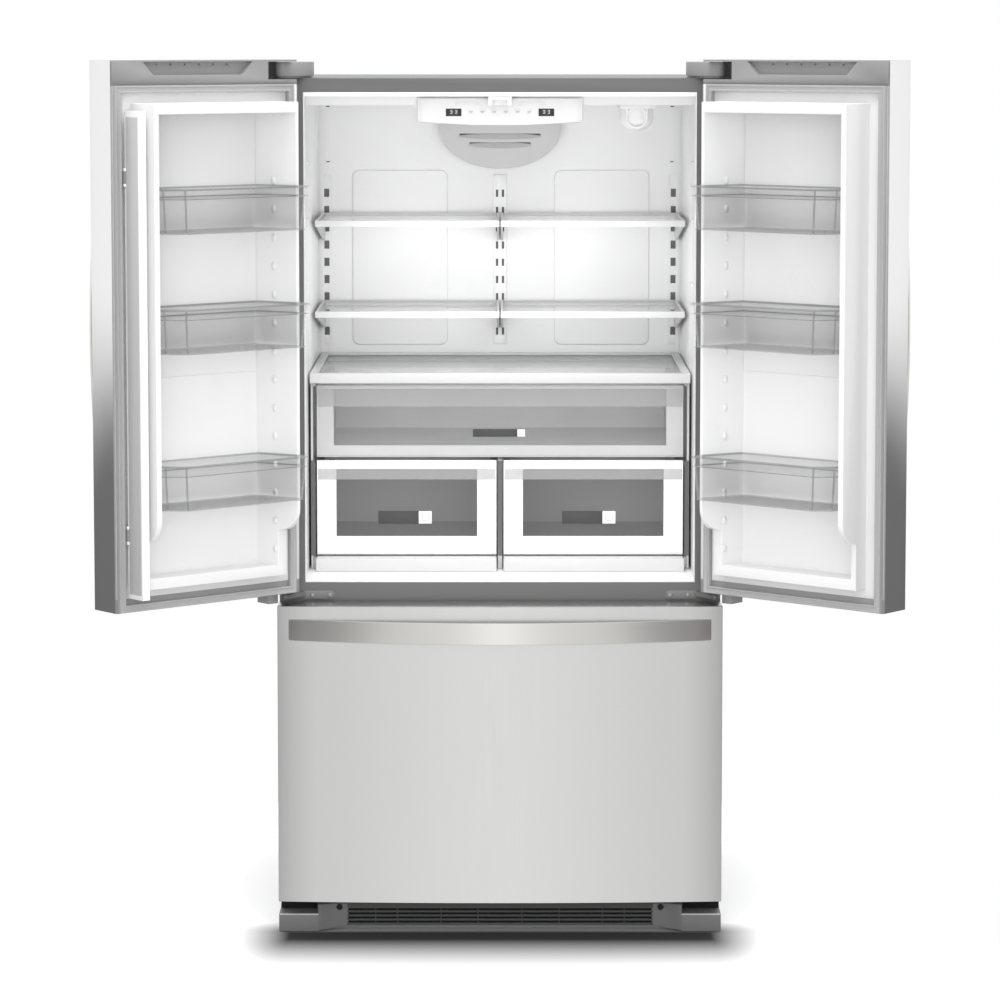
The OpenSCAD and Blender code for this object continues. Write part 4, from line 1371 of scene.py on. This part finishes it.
@dataclass
class Studio:
    """Camera, floor, world and lights."""

    focal: float = 132.57
    distance: float = 7.6725
    height: float = 1.8275
    tilt: float = 5.332
    drop: float = -0.12
    floor_half: float = 4.0
    floor_white: float = 0.9
    front_lobe: Lobe = (
        ("X", (
            (-0.7, 0.2), (-0.42, 0.5), (-0.3, 1.05), (-0.12, 1.1), (-0.05, 1.4), (0.0, 1.75),
            (0.05, 1.4), (0.12, 1.1), (0.3, 1.05), (0.42, 0.5), (0.7, 0.2),
        )),
        ("Y", ((-1.0, 1.0), (-0.35, 1.0), (-0.1, 0.0))),
    )
    side_lobe: Lobe = (
        ("Y", ((-0.45, 0.0), (-0.15, 1.35), (0.4, 1.3), (1.0, 1.0))),
        ("Z", (
            (-1.0, 0.2), (-0.19, 0.2), (-0.165, 0.3), (-0.135, 0.55), (-0.105, 0.88),
            (-0.075, 1.08), (-0.05, 1.2), (1.0, 1.2),
        )),
    )

    def camera(self) -> None:
        """The camera, a little above the doors, looking slightly down."""
        data = bpy.data.cameras.new("camera")
        data.lens = self.focal
        data.sensor_width = 36
        data.shift_y = self.drop
        eye = bpy.data.objects.new("camera", data)
        eye.location = (0, -self.distance, self.height)
        eye.rotation_euler = (math.radians(90 - self.tilt), 0, 0)
        bpy.context.scene.collection.objects.link(eye)
        bpy.context.scene.camera = eye

    def floor(self) -> None:
        """A pale floor, with a soft contact shadow painted into its colour and its glow, darkest
        under the front of the base.
        """
        bpy.ops.object.select_all(action="DESELECT")
        bpy.ops.mesh.primitive_plane_add(
            size=2, location=(0, 0, 0), scale=(self.floor_half, 7, 1)
        )
        made = Bench.named("floor")
        tree = NodeTree("floor_painted_shadow")
        white = self.floor_white
        across, along = tree.axis("X"), tree.axis("Y")
        # Painted shadow: the floor's colour and emission darken towards the base, standing in for
        # the shadow under the refrigerator.
        beside = tree.math("MAXIMUM", tree.math("ABSOLUTE", across) - 0.43, 0.0) * 2.2
        ahead = tree.math("MAXIMUM", (along + 0.325) * -1.0, 0.0)
        behind = tree.math("MAXIMUM", along + 0.27, 0.0) * 3.0
        reach = tree.math("SQRT", beside * beside + ahead * ahead + behind * behind) * 3.5
        shade = tree.math("MINIMUM", reach, 1.0)
        paint = tree.blend(shade, (0.012,) * 3, (white,) * 3)
        tree.set("Base Color", paint)
        tree.set("Emission Color", paint)
        tree.set("Emission Strength", 0.14)
        tree.set("Roughness", 0.9)
        made.data.materials.append(tree.material)
        made.visible_glossy = False

    def world(self) -> None:
        """White to the camera; for light and reflections a dome, bright above and dim below."""
        scene = bpy.context.scene
        scene.world = bpy.data.worlds.new("studio")
        scene.world.use_nodes = True
        nodes, links = scene.world.node_tree.nodes, scene.world.node_tree.links
        nodes.clear()
        path = nodes.new("ShaderNodeLightPath")
        seen, dome = nodes.new("ShaderNodeBackground"), nodes.new("ShaderNodeBackground")
        place, axes = nodes.new("ShaderNodeTexCoord"), nodes.new("ShaderNodeSeparateXYZ")
        links.new(place.outputs["Generated"], axes.inputs[0])
        tree = scene.world.node_tree
        lobes = []
        for factors in (self.front_lobe, self.side_lobe):
            lobe = nodes.new("ShaderNodeMath")
            lobe.operation = "MULTIPLY"
            for index, (axis, stops) in enumerate(factors):
                tree.links.new(self.ramp(tree, axes.outputs[axis], stops), lobe.inputs[index])
            lobes.append(lobe)
        product = nodes.new("ShaderNodeMath")
        for index, lobe in enumerate(lobes):
            links.new(lobe.outputs[0], product.inputs[index])
        links.new(product.outputs[0], dome.inputs[1])
        seen.inputs[0].default_value = (1, 1, 1, 1)
        mix, out = nodes.new("ShaderNodeMixShader"), nodes.new("ShaderNodeOutputWorld")
        links.new(path.outputs["Is Camera Ray"], mix.inputs[0])
        links.new(dome.outputs[0], mix.inputs[1])
        links.new(seen.outputs[0], mix.inputs[2])
        links.new(mix.outputs[0], out.inputs[0])
        scene.view_settings.view_transform = "Standard"

    @staticmethod
    def ramp(
        tree: bpy.types.NodeTree,
        source: bpy.types.NodeSocket,
        stops: Sequence[tuple[float, float]],
    ) -> bpy.types.NodeSocket:
        """A brightness that follows one axis of a direction, from -1 to 1.

        Args:
            tree: the world's node tree.
            source: the axis.
            stops: pairs of a place on the axis and a brightness, up to 2.

        Returns:
            The brightness.
        """
        shift = tree.nodes.new("ShaderNodeMapRange")
        shift.inputs["From Min"].default_value = -1.0
        tree.links.new(source, shift.inputs["Value"])
        made = tree.nodes.new("ShaderNodeValToRGB")
        held = made.color_ramp.elements
        for index, (where, tone) in enumerate(stops):
            stop = held[index] if index < 2 else held.new(where / 2 + 0.5)
            stop.position = where / 2 + 0.5
            stop.color = (tone / 2, tone / 2, tone / 2, 1)
        tree.links.new(shift.outputs[0], made.inputs[0])
        double = tree.nodes.new("ShaderNodeMath")
        double.operation = "MULTIPLY"
        double.inputs[1].default_value = 2.0
        tree.links.new(made.outputs[0], double.inputs[0])
        return double.outputs[0]

    @staticmethod
    def lamp(
        name: str,
        place: Sequence[float],
        aim: Sequence[float],
        size: tuple[float, float],
        watts: float,
    ) -> None:
        """A soft rectangular lamp that reflections don't show.

        Args:
            name: the lamp's name.
            place: where it hangs.
            aim: the point that it faces.
            size: width and height.
            watts: its power.
        """
        data = bpy.data.lights.new(name, "AREA")
        data.shape = "RECTANGLE"
        data.size, data.size_y = size
        data.energy = watts
        lamp = bpy.data.objects.new(name, data)
        lamp.location = place
        lamp.rotation_euler = (Vector(aim) - Vector(place)).to_track_quat("-Z", "Y").to_euler()
        lamp.visible_glossy = False
        lamp.visible_camera = False
        bpy.context.scene.collection.objects.link(lamp)

    def build(self) -> None:
        """Sets the whole studio up."""
        self.camera()
        self.floor()
        self.world()
        self.lamp("key", (0, -5.5, 3.0), (0, 0, 0.9), (3.5, 2.5), 55)
        self.lamp("fill", (0, -5.0, 1.1), (0, 0, 0.9), (4.5, 2.0), 42)
        self.lamp("top", (0, -1.0, 4.8), (0, -0.4, 0), (5, 4), 190)
        self.lamp("inside", (0, -0.12, 1.38), (0, 0.4, 1.2), (0.5, 0.1), 1.0)
        self.lamp("opening", (0, -1.0, 1.05), (0, 0.4, 1.0), (1.0, 0.9), 3.4)


def main() -> None:
    """Builds the whole refrigerator over its frame."""
    logging.basicConfig(level=logging.INFO, format="%(name)s: %(message)s")
    Factory.load()
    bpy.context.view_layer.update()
    Studio().build()
    assemblies = [Cabinet(), Interior(), *clear_drawers(), FreezerDrawer(), Runners(), Doors()]
    for assembly in assemblies:
        assembly.build()


if __name__ == "__main__":
    main()
